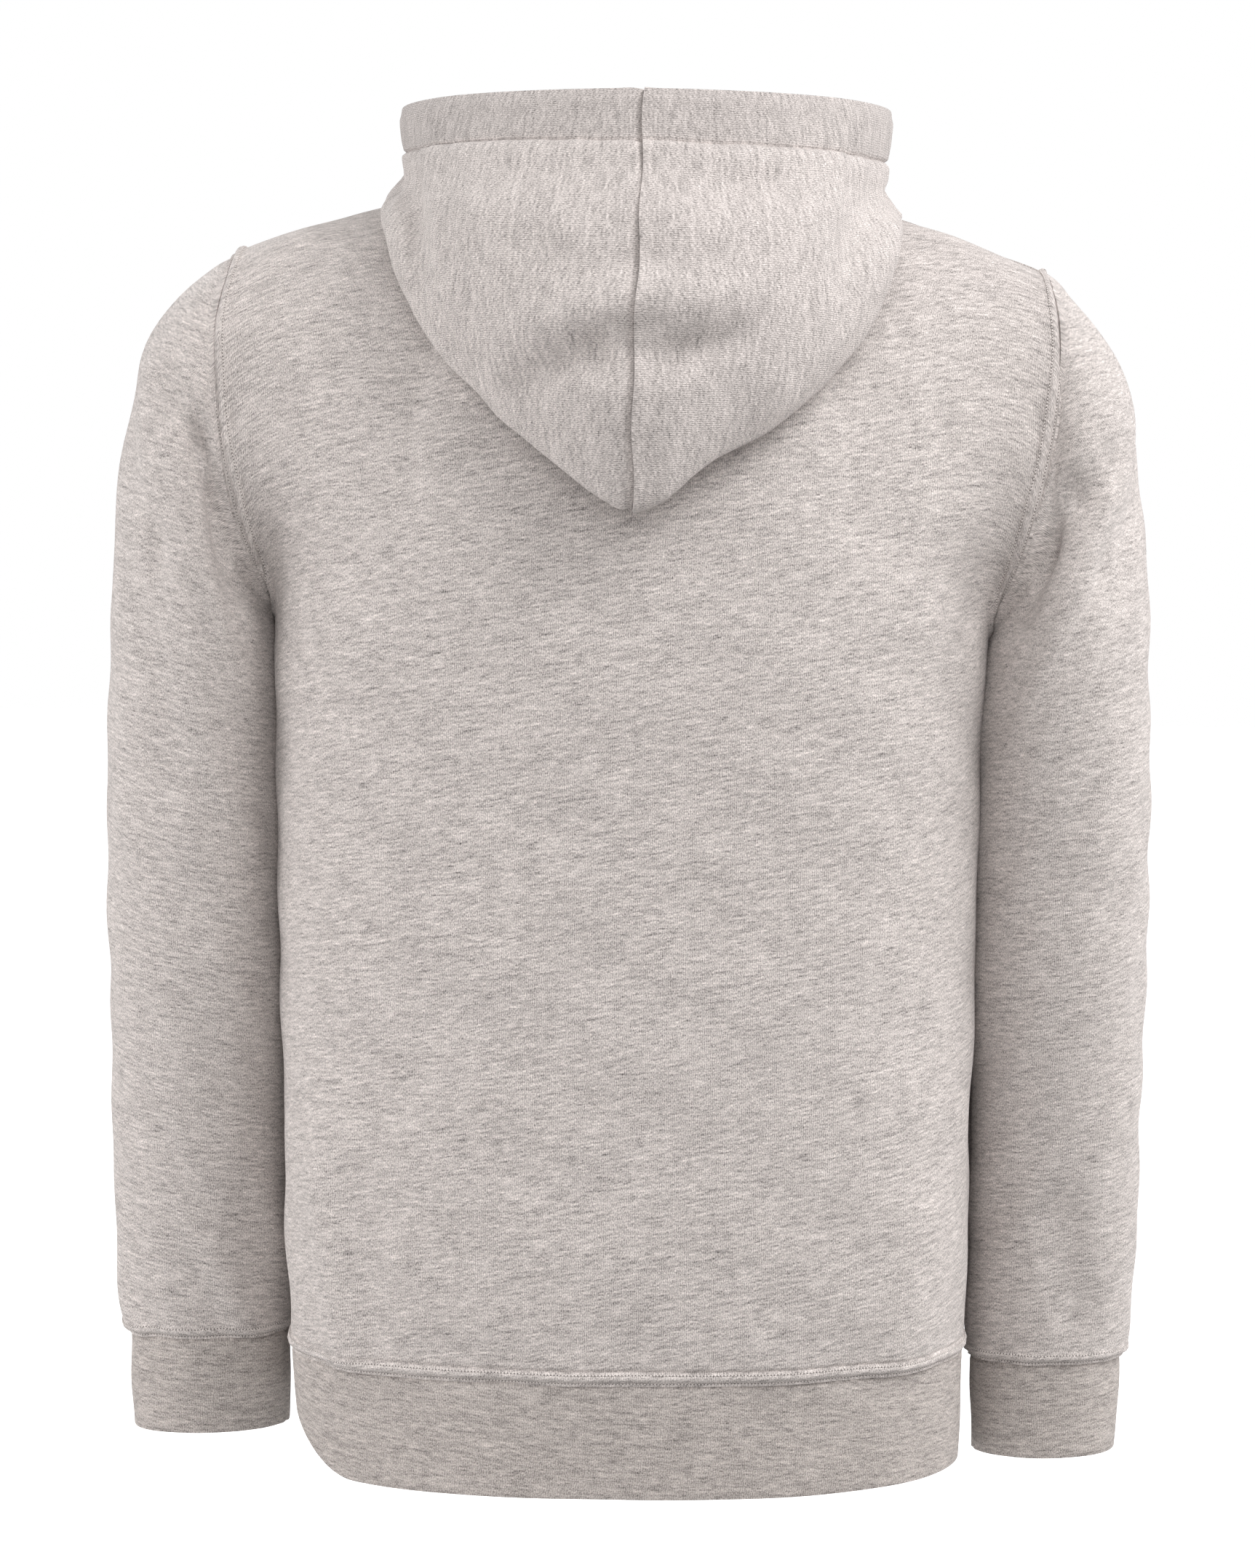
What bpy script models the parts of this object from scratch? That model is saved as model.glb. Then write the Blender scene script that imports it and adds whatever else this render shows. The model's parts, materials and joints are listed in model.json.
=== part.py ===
"""Pullover hoodie of brushed fleece, in the hollow form it has when worn, with its hood down.

Back and front panels, two set-in sleeves, ribbed cuffs and hem band, and a hood in two halves.
Metres, +Z up. The front faces -Y, the wearer's left is +X, and the origin is the middle of the
neck at the height of the shoulder points beside it.
"""

import math
from collections import namedtuple

import bpy
import numpy as np
from mathutils import Vector
from mathutils.bvhtree import BVHTree

GARMENT = "pullover_hoodie"

# Cloth
FLEECE_THICKNESS = 0.0020
RIB_THICKNESS = 0.0030
HOOD_HEM_THICKNESS = 0.0040
SEAM_GAP = 0.0003
SHOULDER_SEAM_PULL = 0.0007
NECK_SEAM_LIFT = 0.0012
HOOD_TO_BODY = 0.0053
HOOD_SEAM_PULL = 0.0007

# Body: a rounded tube from the hem seam to the underarm, then panels that curve in to the shoulders
HEM_SEAM_Z = -0.641
UNDERARM_Z = -0.235
SHOULDER_X = 0.224
SHOULDER_Z = -0.0415
BodySection = namedtuple("BodySection", "height half_width back_depth front_depth power")
BODY_SECTIONS = (
    BodySection(-0.641, 0.1882, 0.114, 0.114, 2.30),
    BodySection(-0.600, 0.1897, 0.117, 0.118, 2.45),
    BodySection(-0.520, 0.1897, 0.118, 0.120, 2.60),
    BodySection(-0.420, 0.1902, 0.118, 0.121, 2.60),
    BodySection(-0.340, 0.1915, 0.119, 0.122, 2.60),
    BodySection(-0.280, 0.1930, 0.121, 0.123, 2.60),
    BodySection(-0.235, 0.1960, 0.121, 0.123, 2.60),
)

# Neck seam: half an oval at the back, half at the front
NECK_HALF_WIDTH = 0.088
NECK_BACK_DEPTH = 0.078
NECK_FRONT_DEPTH = 0.080
NECK_BACK_DROP = 0.018
NECK_FRONT_DROP = 0.085
NECK_SHARE = 0.5
SHOULDER_ROUND = 0.0028

# Armhole: the seam's distance from the middle, from the underarm up, and its half depth
ArmholePoint = namedtuple("ArmholePoint", "height_share distance")
ARMHOLE_POINTS = (
    ArmholePoint(0.00, 0.1960),
    ArmholePoint(0.15, 0.2085),
    ArmholePoint(0.35, 0.2185),
    ArmholePoint(0.60, 0.2265),
    ArmholePoint(0.80, 0.2290),
    ArmholePoint(1.00, 0.2240),
)
ARMHOLE_HALF_DEPTH = 0.062
ARMHOLE_WRAP = 4
UNDERARM_WRAP = 16
UNDERARM_REACH = 0.12
ARMHOLE_FADE = 5.0
ARMHOLE_FADE_POWER = 1.5

# Sleeve: each ring has an inner point beside the body and an outer point on the sleeve's far line
SleeveRing = namedtuple("SleeveRing", "inner_x inner_z outer_x outer_z middle_y half_depth")
SLEEVE_RINGS = (
    SleeveRing(0.1960, -0.2350, 0.2240, -0.0415, 0.000, 0.0620),
    SleeveRing(0.1990, -0.2400, 0.2360, -0.0495, 0.000, 0.0650),
    SleeveRing(0.1985, -0.2480, 0.2545, -0.0690, 0.000, 0.0680),
    SleeveRing(0.1975, -0.2590, 0.2710, -0.0965, 0.000, 0.0700),
    SleeveRing(0.1960, -0.2740, 0.2805, -0.1370, 0.000, 0.0710),
    SleeveRing(0.1942, -0.2950, 0.2845, -0.1880, -0.002, 0.0700),
    SleeveRing(0.1930, -0.3250, 0.2875, -0.2500, -0.006, 0.0680),
    SleeveRing(0.1920, -0.3700, 0.2905, -0.3200, -0.011, 0.0650),
    SleeveRing(0.1912, -0.4300, 0.2915, -0.4000, -0.017, 0.0600),
    SleeveRing(0.1908, -0.5000, 0.2910, -0.4850, -0.024, 0.0530),
    SleeveRing(0.1905, -0.5700, 0.2900, -0.5650, -0.030, 0.0460),
    SleeveRing(0.1900, -0.6280, 0.2885, -0.6280, -0.035, 0.0415),
    SleeveRing(0.1925, -0.6480, 0.2845, -0.6480, -0.036, 0.0380),
)
SLEEVE_POWER = 2.15

# How a sleeve's lower end hangs: its width against the table's, and its far side's drop
SleeveHang = namedtuple("SleeveHang", "wider drop")
LEFT_SLEEVE_HANG = SleeveHang(0.035, 0.004)
RIGHT_SLEEVE_HANG = SleeveHang(-0.045, -0.004)
SLEEVE_INNER_X = 0.190
SLEEVE_END_Z = -0.650
SLEEVE_END_WIDTH = 0.095

# Cuff: a ribbed tube that goes on from the sleeve's last ring
CUFF_HEIGHT = 0.053
CUFF_TOP_SCALE = 0.965
CUFF_END_SCALE = 0.93

# Hem band, whose lower edge is hitched up a little at the left side
HEM_HEIGHT = 0.061
HEM_TOP_SCALE = 0.997
HEM_END_SCALE = 0.985
HEM_LIFT = 0.034
HEM_LIFT_START = 0.145

# Hood: profiles in upright planes through the neck's middle. Each runs from the neck seam down the
# back, round the lowest fold, up the outside and over to the edge, as (radius, height) pairs
HoodProfile = namedtuple("HoodProfile", "azimuth under fold low high throat edge")
HOOD_PROFILES = (
    HoodProfile(90, (0.119, -0.090), (0.150, -0.177), (0.169, -0.125),
                (0.167, -0.040), (0.146, 0.006), (0.1355, 0.0385)),
    HoodProfile(73, (0.119, -0.080), (0.1465, -0.154), (0.165, -0.110),
                (0.165, -0.036), (0.145, 0.007), (0.1350, 0.0385)),
    HoodProfile(55, (0.118, -0.060), (0.148, -0.119), (0.162, -0.085),
                (0.160, -0.028), (0.144, 0.009), (0.1350, 0.0390)),
    HoodProfile(40, (0.116, -0.036), (0.155, -0.078), (0.161, -0.054),
                (0.152, -0.020), (0.142, 0.011), (0.1360, 0.0395)),
    HoodProfile(28, (0.114, -0.016), (0.153, -0.041), (0.156, -0.030),
                (0.142, -0.009), (0.1385, 0.013), (0.1370, 0.0395)),
    HoodProfile(14, (0.112, -0.006), (0.141, -0.023), (0.1435, -0.016),
                (0.1330, -0.002), (0.1350, 0.014), (0.1370, 0.0395)),
    HoodProfile(-15, (0.100, 0.002), (0.118, 0.000), (0.123, 0.005),
                (0.122, 0.011), (0.124, 0.017), (0.128, 0.0370)),
    HoodProfile(-50, (0.086, -0.043), (0.091, -0.036), (0.095, -0.029),
                (0.098, -0.022), (0.099, -0.016), (0.100, 0.005)),
    HoodProfile(-90, (0.082, -0.082), (0.085, -0.079), (0.0875, -0.076),
                (0.0895, -0.073), (0.091, -0.070), (0.099, -0.046)),
)
# How much lower the fold of the hood's right half hangs than the left half's
HoodDroop = namedtuple("HoodDroop", "azimuth drop")
RIGHT_HOOD_DROOP = (
    HoodDroop(-90, 0.0),
    HoodDroop(14, 0.0),
    HoodDroop(28, 0.001),
    HoodDroop(40, 0.006),
    HoodDroop(55, 0.005),
    HoodDroop(73, -0.004),
    HoodDroop(90, 0.0),
)
HOOD_LOW_DROOP_SHARE = 0.6
HOOD_HEM_WIDTH = 0.026
HOOD_HEM_SPREAD = 0.003
HOOD_LEVEL = 0.019
HOOD_LEVEL_LOW_Z = 0.004
HOOD_LEVEL_HIGH_Z = 0.030
HOOD_SEAM_MARGIN = 2.0
HOOD_SLIP = 0.005
HOOD_SLIP_REACH = 0.04
HOOD_REST_REACH = 0.007

# How the garment hangs: its right side lower, its top and hem drawn to the right
SIDE_DROP = 0.015
SIDE_LEAN = 0.013
LEAN_FREE_Z = -0.30
HEM_RISE = 0.031

# Soft folds: across runs along a section from the panel's middle or the sleeve's outer line
Fold = namedtuple("Fold", "piece from_across from_z to_across to_z half_width depth")
FOLDS = (
    Fold("sleeve_left", 0.025, -0.130, 0.085, -0.205, 0.020, 0.0050),
    Fold("sleeve_left", 0.080, -0.205, 0.088, -0.330, 0.018, 0.0040),
    Fold("sleeve_right", 0.015, -0.145, 0.080, -0.200, 0.022, 0.0070),
    Fold("sleeve_right", 0.075, -0.560, 0.060, -0.615, 0.014, 0.0035),
    Fold("back_panel", 0.165, -0.535, 0.150, -0.636, 0.022, -0.0040),
    Fold("back_panel", -0.170, -0.550, -0.160, -0.636, 0.022, -0.0030),
)

# Mesh steps
BODY_COLUMNS = 24
LOWER_ROWS = 9
YOKE_ROWS = 10
SLEEVE_AROUND = 20
SLEEVE_STEPS = 24
CUFF_STEPS = 4
HEM_AROUND = 48
HEM_STEPS = 4
HOOD_STATION = 15
HOOD_BODY_STEPS = 19
HOOD_HEM_STEPS = 3
FINE_STEPS = 400

# Looks: linear colours and one roughness
FLEECE_COLOUR = (0.48, 0.435, 0.415, 1.0)
HOOD_COLOUR = (0.49, 0.445, 0.425, 1.0)
RIB_COLOUR = (0.40, 0.358, 0.336, 1.0)
CLOTH_ROUGHNESS = 0.9


def smooth(keys, values, at):
    """Reads a smooth curve through rows of values at the given keys."""
    keys = np.asarray(keys, float)
    values = np.asarray(values, float)
    at = np.asarray(at, float)
    slopes = np.gradient(values, keys, axis=0)
    first = np.clip(np.searchsorted(keys, at, side="right") - 1, 0, len(keys) - 2)
    span = keys[first + 1] - keys[first]
    share = (at - keys[first]) / span
    if values.ndim > 1:
        share = share[..., None]
        span = span[..., None]
    rise = share * share * (3 - 2 * share)
    lift_first = share * (1 - share) ** 2 * span
    lift_second = -share * share * (1 - share) * span
    between = values[first] * (1 - rise) + values[first + 1] * rise
    return between + slopes[first] * lift_first + slopes[first + 1] * lift_second


def along_length(points, shares):
    """Points at the given shares of a line's length."""
    steps = np.linalg.norm(np.diff(points, axis=0), axis=1)
    length = np.concatenate(([0.0], np.cumsum(steps)))
    return np.stack([np.interp(shares * length[-1], length, column) for column in points.T], axis=1)


def quarter_section(half_width, depth, power, shares):
    """A rounded quarter section, from the panel's middle to its side, at shares of its length."""
    angle = np.linspace(0.0, math.pi / 2, FINE_STEPS)
    across = half_width * np.sin(angle) ** (2 / power)
    outward = depth * np.cos(angle) ** (2 / power)
    points = along_length(np.stack([across, outward], axis=1), shares)
    return points[:, 0], points[:, 1]


def body_section(z):
    """Half width, back depth, front depth and power of the body's section at a height."""
    rows = np.array(BODY_SECTIONS)
    return smooth(rows[:, 0], rows[:, 1:], np.clip(z, rows[0, 0], rows[-1, 0]))


def hem_level(across, z):
    """Heights of the body's lower rows, whose right side rises towards the hem."""
    down = np.clip((z - UNDERARM_Z) / (HEM_SEAM_Z - UNDERARM_Z), 0.0, None)
    return z - HEM_RISE * across * down * down


def neck_point(azimuth):
    """The neck seam at an angle from the side, 90 at the back and -90 at the front."""
    turn = math.radians(azimuth)
    back = azimuth >= 0
    depth = NECK_BACK_DEPTH if back else NECK_FRONT_DEPTH
    drop = NECK_BACK_DROP if back else NECK_FRONT_DROP
    return np.array([NECK_HALF_WIDTH * math.cos(turn), depth * math.sin(turn), -drop * math.sin(turn) ** 2])


def top_edge(share, side):
    """A panel's top edge: the neck seam out to NECK_SHARE of the half width, then the shoulder seam."""
    if share <= NECK_SHARE:
        azimuth = side * 90 * (1 - share / NECK_SHARE)
        return neck_point(azimuth)
    out = (share - NECK_SHARE) / (1 - NECK_SHARE)
    neck_side = np.array([NECK_HALF_WIDTH, 0.0, 0.0])
    rounded = np.array([0.0, 0.0, 4 * SHOULDER_ROUND * out * (1 - out)])
    return neck_side + out * (np.array([SHOULDER_X, 0.0, SHOULDER_Z]) - neck_side) + rounded


def armhole_distance(height_share):
    rows = np.array(ARMHOLE_POINTS)
    return smooth(rows[:, 0], rows[:, 1], height_share)


def armhole_depth(height_share):
    return ARMHOLE_HALF_DEPTH * np.sqrt(np.clip(4 * height_share * (1 - height_share), 0, None))


def panel_grid(side, columns, lower_rows, yoke_rows):
    """A body panel as rows of points, from the hem seam up; side is 1 for the back and -1 for the front."""
    shares = np.linspace(-1.0, 1.0, columns + 1)
    signs = np.sign(shares)
    shares = np.abs(shares)
    depth_column = 1 if side > 0 else 2
    grid = []
    for z in np.linspace(HEM_SEAM_Z, UNDERARM_Z, lower_rows + 1):
        section = body_section(z)
        across, outward = quarter_section(section[0], section[depth_column], section[3], shares)
        across = across * signs
        grid.append(np.stack([across, outward * side, hem_level(across, z)], axis=1))
    chest = body_section(UNDERARM_Z)
    chest_x, chest_y = quarter_section(chest[0], chest[depth_column], chest[3], shares)
    top = np.array([top_edge(share, side) for share in shares])
    for turn in np.linspace(0.0, math.pi, yoke_rows + 1)[1:]:
        up = (1 - math.cos(turn)) / 2
        round_in = math.sqrt(1 - up * up)
        straight = (1 - up) * chest[0] + up * SHOULDER_X
        wrap = shares ** (ARMHOLE_WRAP + UNDERARM_WRAP * math.exp(-up / UNDERARM_REACH))
        across = (1 - up) * chest_x + up * top[:, 0] + wrap * (armhole_distance(up) - straight)
        top_y = np.abs(top[:, 1])
        outward = top_y + (chest_y - top_y) * round_in + wrap * armhole_depth(up)
        height = (1 - up) * UNDERARM_Z + up * top[:, 2]
        grid.append(np.stack([across * signs, outward * side, height], axis=1))
    return np.array(grid)


def armhole_ring(around):
    """The armhole seam on the left, from the shoulder over the back to the underarm and up the front."""
    turn = np.linspace(0.0, 2 * math.pi, around, endpoint=False)
    up = (1 + np.cos(turn)) / 2
    height = (1 - up) * UNDERARM_Z + up * SHOULDER_Z
    return np.stack([armhole_distance(up), armhole_depth(up) * np.sign(np.sin(turn)), height], axis=1)


def sleeve_ring(row, around):
    """One ring of a left sleeve, from its outer point over the back."""
    turn = np.linspace(0.0, 2 * math.pi, around, endpoint=False)
    along = np.sign(np.cos(turn)) * np.abs(np.cos(turn)) ** (2 / SLEEVE_POWER)
    sideways = np.sign(np.sin(turn)) * np.abs(np.sin(turn)) ** (2 / SLEEVE_POWER)
    inner = np.array([row[0], row[4], row[1]])
    outer = np.array([row[2], row[4], row[3]])
    middle = (inner + outer) / 2
    reach = (outer - inner) / 2
    return middle + along[:, None] * reach + sideways[:, None] * np.array([0.0, row[5], 0.0])


def sleeve_grid(around, steps):
    """A left sleeve as rings, from the armhole down to the cuff seam."""
    rows = np.array(SLEEVE_RINGS)
    keys = np.arange(len(rows))
    grid = []
    seam = armhole_ring(around)
    first = sleeve_ring(rows[0], around)
    for at in np.linspace(0.0, keys[-1], steps + 1):
        ring = sleeve_ring(smooth(keys, rows, np.array(at)), around)
        grid.append(ring + (seam - first) * max(0.0, 1 - at / ARMHOLE_FADE) ** ARMHOLE_FADE_POWER)
    return np.array(grid)


def settle_sleeve(grid, hang_of):
    """Widens and drops a left-hand sleeve or cuff towards its lower end."""
    x, y, z = np.moveaxis(grid, -1, 0)
    down = np.clip((UNDERARM_Z - z) / (UNDERARM_Z - SLEEVE_END_Z), 0.0, None)
    out = x - SLEEVE_INNER_X
    dropped = z - hang_of.drop * down * down * out / SLEEVE_END_WIDTH
    return np.stack([x + hang_of.wider * down * out, y, dropped], axis=-1)


def cuff_grid(around, steps):
    last = sleeve_ring(np.array(SLEEVE_RINGS[-1]), around)
    middle = last.mean(axis=0)
    shape = last - middle
    grid = []
    for share in np.linspace(0.0, 1.0, steps + 1):
        scale = CUFF_TOP_SCALE + (CUFF_END_SCALE - CUFF_TOP_SCALE) * share
        down = np.array([0.0, 0.0, -SEAM_GAP - share * CUFF_HEIGHT])
        grid.append(middle + down + shape * scale)
    return np.array(grid)


def hem_grid(around, steps):
    section = body_section(HEM_SEAM_Z)
    quarter = np.linspace(0.0, 1.0, around // 4, endpoint=False)
    grid = []
    for share in np.linspace(0.0, 1.0, steps + 1):
        scale = HEM_TOP_SCALE + (HEM_END_SCALE - HEM_TOP_SCALE) * share
        ring = []
        for turn in range(4):
            depth = section[1] if turn < 2 else section[2]
            shares = quarter if turn % 2 else 1 - quarter
            across, outward = quarter_section(section[0], depth, section[3], shares)
            across = across * (1 if turn in (0, 3) else -1)
            outward = outward * (1 if turn < 2 else -1)
            ring.append(np.stack([across, outward], axis=1))
        flat = np.concatenate(ring) * scale
        lifted = np.clip((flat[:, 0] - HEM_LIFT_START) / (section[0] - HEM_LIFT_START), 0.0, 1.0)
        drop = SEAM_GAP + share * (HEM_HEIGHT - HEM_LIFT * lifted ** 2)
        height = hem_level(flat[:, 0], HEM_SEAM_Z) - drop
        grid.append(np.concatenate([flat, height[:, None]], axis=1))
    return np.array(grid)


def hood_azimuths(margin):
    """Stations from the centre seam to the front, with one close to each end."""
    stations = list(range(90, -91, -HOOD_STATION))
    return [90.0, 90.0 - margin] + [float(angle) for angle in stations[1:-1]] + [-90.0 + margin, -90.0]


def hood_neck_point(azimuth):
    """The neck seam read between the panels' own points on it."""
    nodes = np.arange(-90, 91, HOOD_STATION)
    points = np.array([neck_point(node) for node in nodes])
    found = np.array([np.interp(azimuth, nodes, column) for column in points.T])
    return found + np.array([0.0, 0.0, NECK_SEAM_LIFT])


def hood_profile(azimuth, body, right, body_steps, hem_steps):
    """A hood profile from the neck seam to the opening edge, which slips sideways past the seam."""
    rows = np.array([[profile.azimuth, *np.ravel(profile[1:])] for profile in HOOD_PROFILES])[::-1]
    mirrored = rows[[1, -2]].copy()
    mirrored[0, 0] = -180 - mirrored[0, 0]
    mirrored[1, 0] = 180 - mirrored[1, 0]
    rows = np.concatenate([mirrored[:1], rows, mirrored[1:]])
    row = smooth(rows[:, 0], rows[:, 1:], np.array(azimuth))
    if right:
        droops = np.array(RIGHT_HOOD_DROOP)
        drop = np.interp(azimuth, droops[:, 0], droops[:, 1])
        row = row - drop * np.array([0, 0, 0, 1, 0, HOOD_LOW_DROOP_SHARE, 0, 0, 0, 0, 0, 0])
    turn = math.radians(azimuth)
    outward = np.array([math.cos(turn), math.sin(turn), 0.0])
    neck = hood_neck_point(azimuth)
    points = [neck]
    for radius, height in row.reshape(-1, 2):
        points.append(outward * radius + np.array([0.0, 0.0, height]))
    points = np.array(points)
    spans = np.linalg.norm(np.diff(points, axis=0), axis=1)
    keys = np.concatenate(([0.0], np.cumsum(spans)))
    run = np.linspace(0.0, keys[-1], FINE_STEPS)
    fine = smooth(keys, points, run)
    slip = (HOOD_SLIP if right else -HOOD_SLIP) * max(0.0, math.sin(turn))
    fine[:, 0] += slip * np.clip(run / HOOD_SLIP_REACH, 0.0, 1.0)
    room = HOOD_TO_BODY * np.clip(run / HOOD_REST_REACH, 0.0, 1.0)
    fine[1:] = [clear_of(body, point, gap) for point, gap in zip(fine[1:], room[1:])]
    length = np.linalg.norm(np.diff(fine, axis=0), axis=1).sum()
    hem_share = 1 - (HOOD_HEM_WIDTH + HOOD_HEM_SPREAD * max(0.0, math.sin(turn))) / length
    shares = np.concatenate([
        np.linspace(0.0, hem_share, body_steps, endpoint=False),
        np.linspace(hem_share, 1.0, hem_steps + 1),
    ])
    return along_length(fine, shares)


def clear_of(body, point, gap):
    """Moves a point of the hood out from the chest's middle until it clears the body panels by a gap."""
    centre = Vector((0.0, 0.0, UNDERARM_Z / 2))
    away = Vector(point) - centre
    hit = body.ray_cast(centre, away.normalized())
    if hit[0] is None or hit[3] + gap <= away.length:
        return np.array(point)
    return np.array(centre + away.normalized() * (hit[3] + gap))


def hood_grid(body, right):
    """A half of the hood as profiles on the left side, from the centre seam to the front."""
    return np.array([
        hood_profile(azimuth, body, right, HOOD_BODY_STEPS, HOOD_HEM_STEPS)
        for azimuth in hood_azimuths(HOOD_SEAM_MARGIN)
    ])


def surface_tree(grids):
    """A search tree over the panels' outer faces."""
    points = []
    faces = []
    for grid in grids:
        start = len(points)
        rows, columns = grid.shape[:2]
        points += [tuple(point) for point in grid.reshape(-1, 3)]
        for row in range(rows - 1):
            for column in range(columns - 1):
                corner = start + row * columns + column
                faces.append((corner, corner + 1, corner + columns + 1, corner + columns))
    return BVHTree.FromPolygons(points, faces)


def grid_normals(grid, closed):
    """Unit normals of a grid's points."""
    if closed:
        around = np.roll(grid, -1, axis=1) - np.roll(grid, 1, axis=1)
    else:
        around = np.gradient(grid, axis=1)
    normals = np.cross(around, np.gradient(grid, axis=0))
    return normals / np.linalg.norm(normals, axis=2, keepdims=True)


def fold_amount(fold, across, height):
    """How far a fold moves points inwards, given their place across the piece and their height."""
    start = np.array([fold.from_across, fold.from_z])
    run = np.array([fold.to_across, fold.to_z]) - start
    place = np.stack([across, height], axis=-1) - start
    share = np.clip((place @ run) / (run @ run), 0.0, 1.0)
    distance = np.linalg.norm(place - share[..., None] * run, axis=-1)
    return fold.depth * np.exp(-(distance / fold.half_width) ** 2)


def add_folds(grid, piece, across, outward):
    """Pushes a grid's points in along its folds; outward holds unit vectors away from the wearer."""
    amount = np.zeros(grid.shape[:2])
    for fold in FOLDS:
        if fold.piece == piece:
            amount += fold_amount(fold, across, grid[:, :, 2])
    return grid - outward * amount[:, :, None]


def lengths_across(grid, start):
    """Each point's distance along its row from the start column, negative before it."""
    steps = np.linalg.norm(np.diff(grid, axis=1), axis=2)
    length = np.concatenate([np.zeros((grid.shape[0], 1)), np.cumsum(steps, axis=1)], axis=1)
    return length - length[:, start:start + 1]


def pull_edge(grid, edge, amount):
    """Draws one edge of an open grid back from its seam."""
    ends = {"first_row": (0, 1), "last_row": (-1, -2), "first_column": (0, 1), "last_column": (-1, -2)}
    outer, inner = ends[edge]
    view = grid if edge.endswith("row") else grid.transpose(1, 0, 2)
    toward = view[inner] - view[outer]
    view[outer] += toward / np.linalg.norm(toward, axis=1, keepdims=True) * amount


def hang(points):
    """Places points as the garment hangs, a little off square."""
    x, y, z = np.moveaxis(points, -1, 0)
    lean = SIDE_LEAN * np.abs(z - LEAN_FREE_Z)
    return np.stack([x - lean, y, z + SIDE_DROP * x], axis=-1)


def level_hood(grid):
    """Turns the upper part of the hood back to level."""
    x, y, z = np.moveaxis(grid, -1, 0)
    high = np.clip((z - HOOD_LEVEL_LOW_Z) / (HOOD_LEVEL_HIGH_Z - HOOD_LEVEL_LOW_Z), 0.0, 1.0)
    return np.stack([x, y, z - HOOD_LEVEL * x * high], axis=-1)


def mirrored(grid):
    return grid * np.array([-1.0, 1.0, 1.0])


def make_material(name, colour, roughness):
    material = bpy.data.materials.new(name)
    material.use_nodes = True
    shader = material.node_tree.nodes["Principled BSDF"]
    shader.inputs["Base Color"].default_value = colour
    shader.inputs["Roughness"].default_value = roughness
    material.diffuse_color = colour
    return material


def make_cloth(name, grid, closed, flip, thickness, colour):
    """An object from a grid of outer points, thickened inwards."""
    rows, columns = grid.shape[:2]
    points = [tuple(point) for point in hang(grid).reshape(-1, 3)]
    faces = []
    for row in range(rows - 1):
        for column in range(columns if closed else columns - 1):
            beside = (column + 1) % columns
            face = (
                row * columns + column,
                row * columns + beside,
                (row + 1) * columns + beside,
                (row + 1) * columns + column,
            )
            faces.append(face[::-1] if flip else face)
    mesh = bpy.data.meshes.new(name)
    mesh.from_pydata(points, [], faces)
    mesh.shade_smooth()
    cloth = bpy.data.objects.new(name, mesh)
    mesh.materials.append(make_material(name + "_cloth", colour, CLOTH_ROUGHNESS))
    wall = cloth.modifiers.new("wall", "SOLIDIFY")
    wall.thickness = thickness
    wall.offset = -1.0
    wall.use_quality_normals = True
    return cloth


def thicken_hem(hood, grid):
    """Makes the turned-in hem at the hood's opening two layers thick."""
    group = hood.vertex_groups.new(name="turned_in_hem")
    rows, columns = grid.shape[:2]
    first = HOOD_BODY_STEPS
    hem = [row * columns + column for row in range(rows) for column in range(first, columns)]
    group.add(hem, 1.0, "REPLACE")
    wall = hood.modifiers["wall"]
    wall.thickness = HOOD_HEM_THICKNESS
    wall.vertex_group = group.name
    wall.thickness_vertex_group = FLEECE_THICKNESS / HOOD_HEM_THICKNESS


def make_panel(name, side):
    grid = panel_grid(side, BODY_COLUMNS, LOWER_ROWS, YOKE_ROWS)
    outward = grid_normals(grid, False) * -side
    grid = add_folds(grid, name, lengths_across(grid, BODY_COLUMNS // 2), outward)
    for edge in ("first_column", "last_column"):
        pull_edge(grid, edge, SEAM_GAP)
    pull_edge(grid, "last_row", SHOULDER_SEAM_PULL)
    return make_cloth(name, grid, False, side > 0, FLEECE_THICKNESS, FLEECE_COLOUR)


def make_sleeve(name, right):
    grid = sleeve_grid(SLEEVE_AROUND, SLEEVE_STEPS)
    outward = -grid_normals(grid, True)
    across = lengths_across(grid, 0)
    grid = add_folds(grid, name, across, outward)
    pull_edge(grid, "first_row", SEAM_GAP)
    grid = settle_sleeve(grid, RIGHT_SLEEVE_HANG if right else LEFT_SLEEVE_HANG)
    if right:
        grid = mirrored(grid)
    return make_cloth(name, grid, True, not right, FLEECE_THICKNESS, FLEECE_COLOUR)


def make_cuff(name, right):
    grid = cuff_grid(SLEEVE_AROUND, CUFF_STEPS)
    grid = settle_sleeve(grid, RIGHT_SLEEVE_HANG if right else LEFT_SLEEVE_HANG)
    if right:
        grid = mirrored(grid)
    return make_cloth(name, grid, True, not right, RIB_THICKNESS, RIB_COLOUR)


def make_hem_band(name):
    grid = hem_grid(HEM_AROUND, HEM_STEPS)
    return make_cloth(name, grid, True, True, RIB_THICKNESS, RIB_COLOUR)


def make_hood_half(name, right, body):
    grid = hood_grid(body, right)
    grid[[0, -1], :, 0] += HOOD_SEAM_PULL
    if right:
        grid = mirrored(grid)
    grid = level_hood(grid)
    hood = make_cloth(name, grid, False, right, FLEECE_THICKNESS, HOOD_COLOUR)
    thicken_hem(hood, grid)
    return hood


def clear_scene():
    for item in list(bpy.data.objects):
        bpy.data.objects.remove(item, do_unlink=True)


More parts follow.
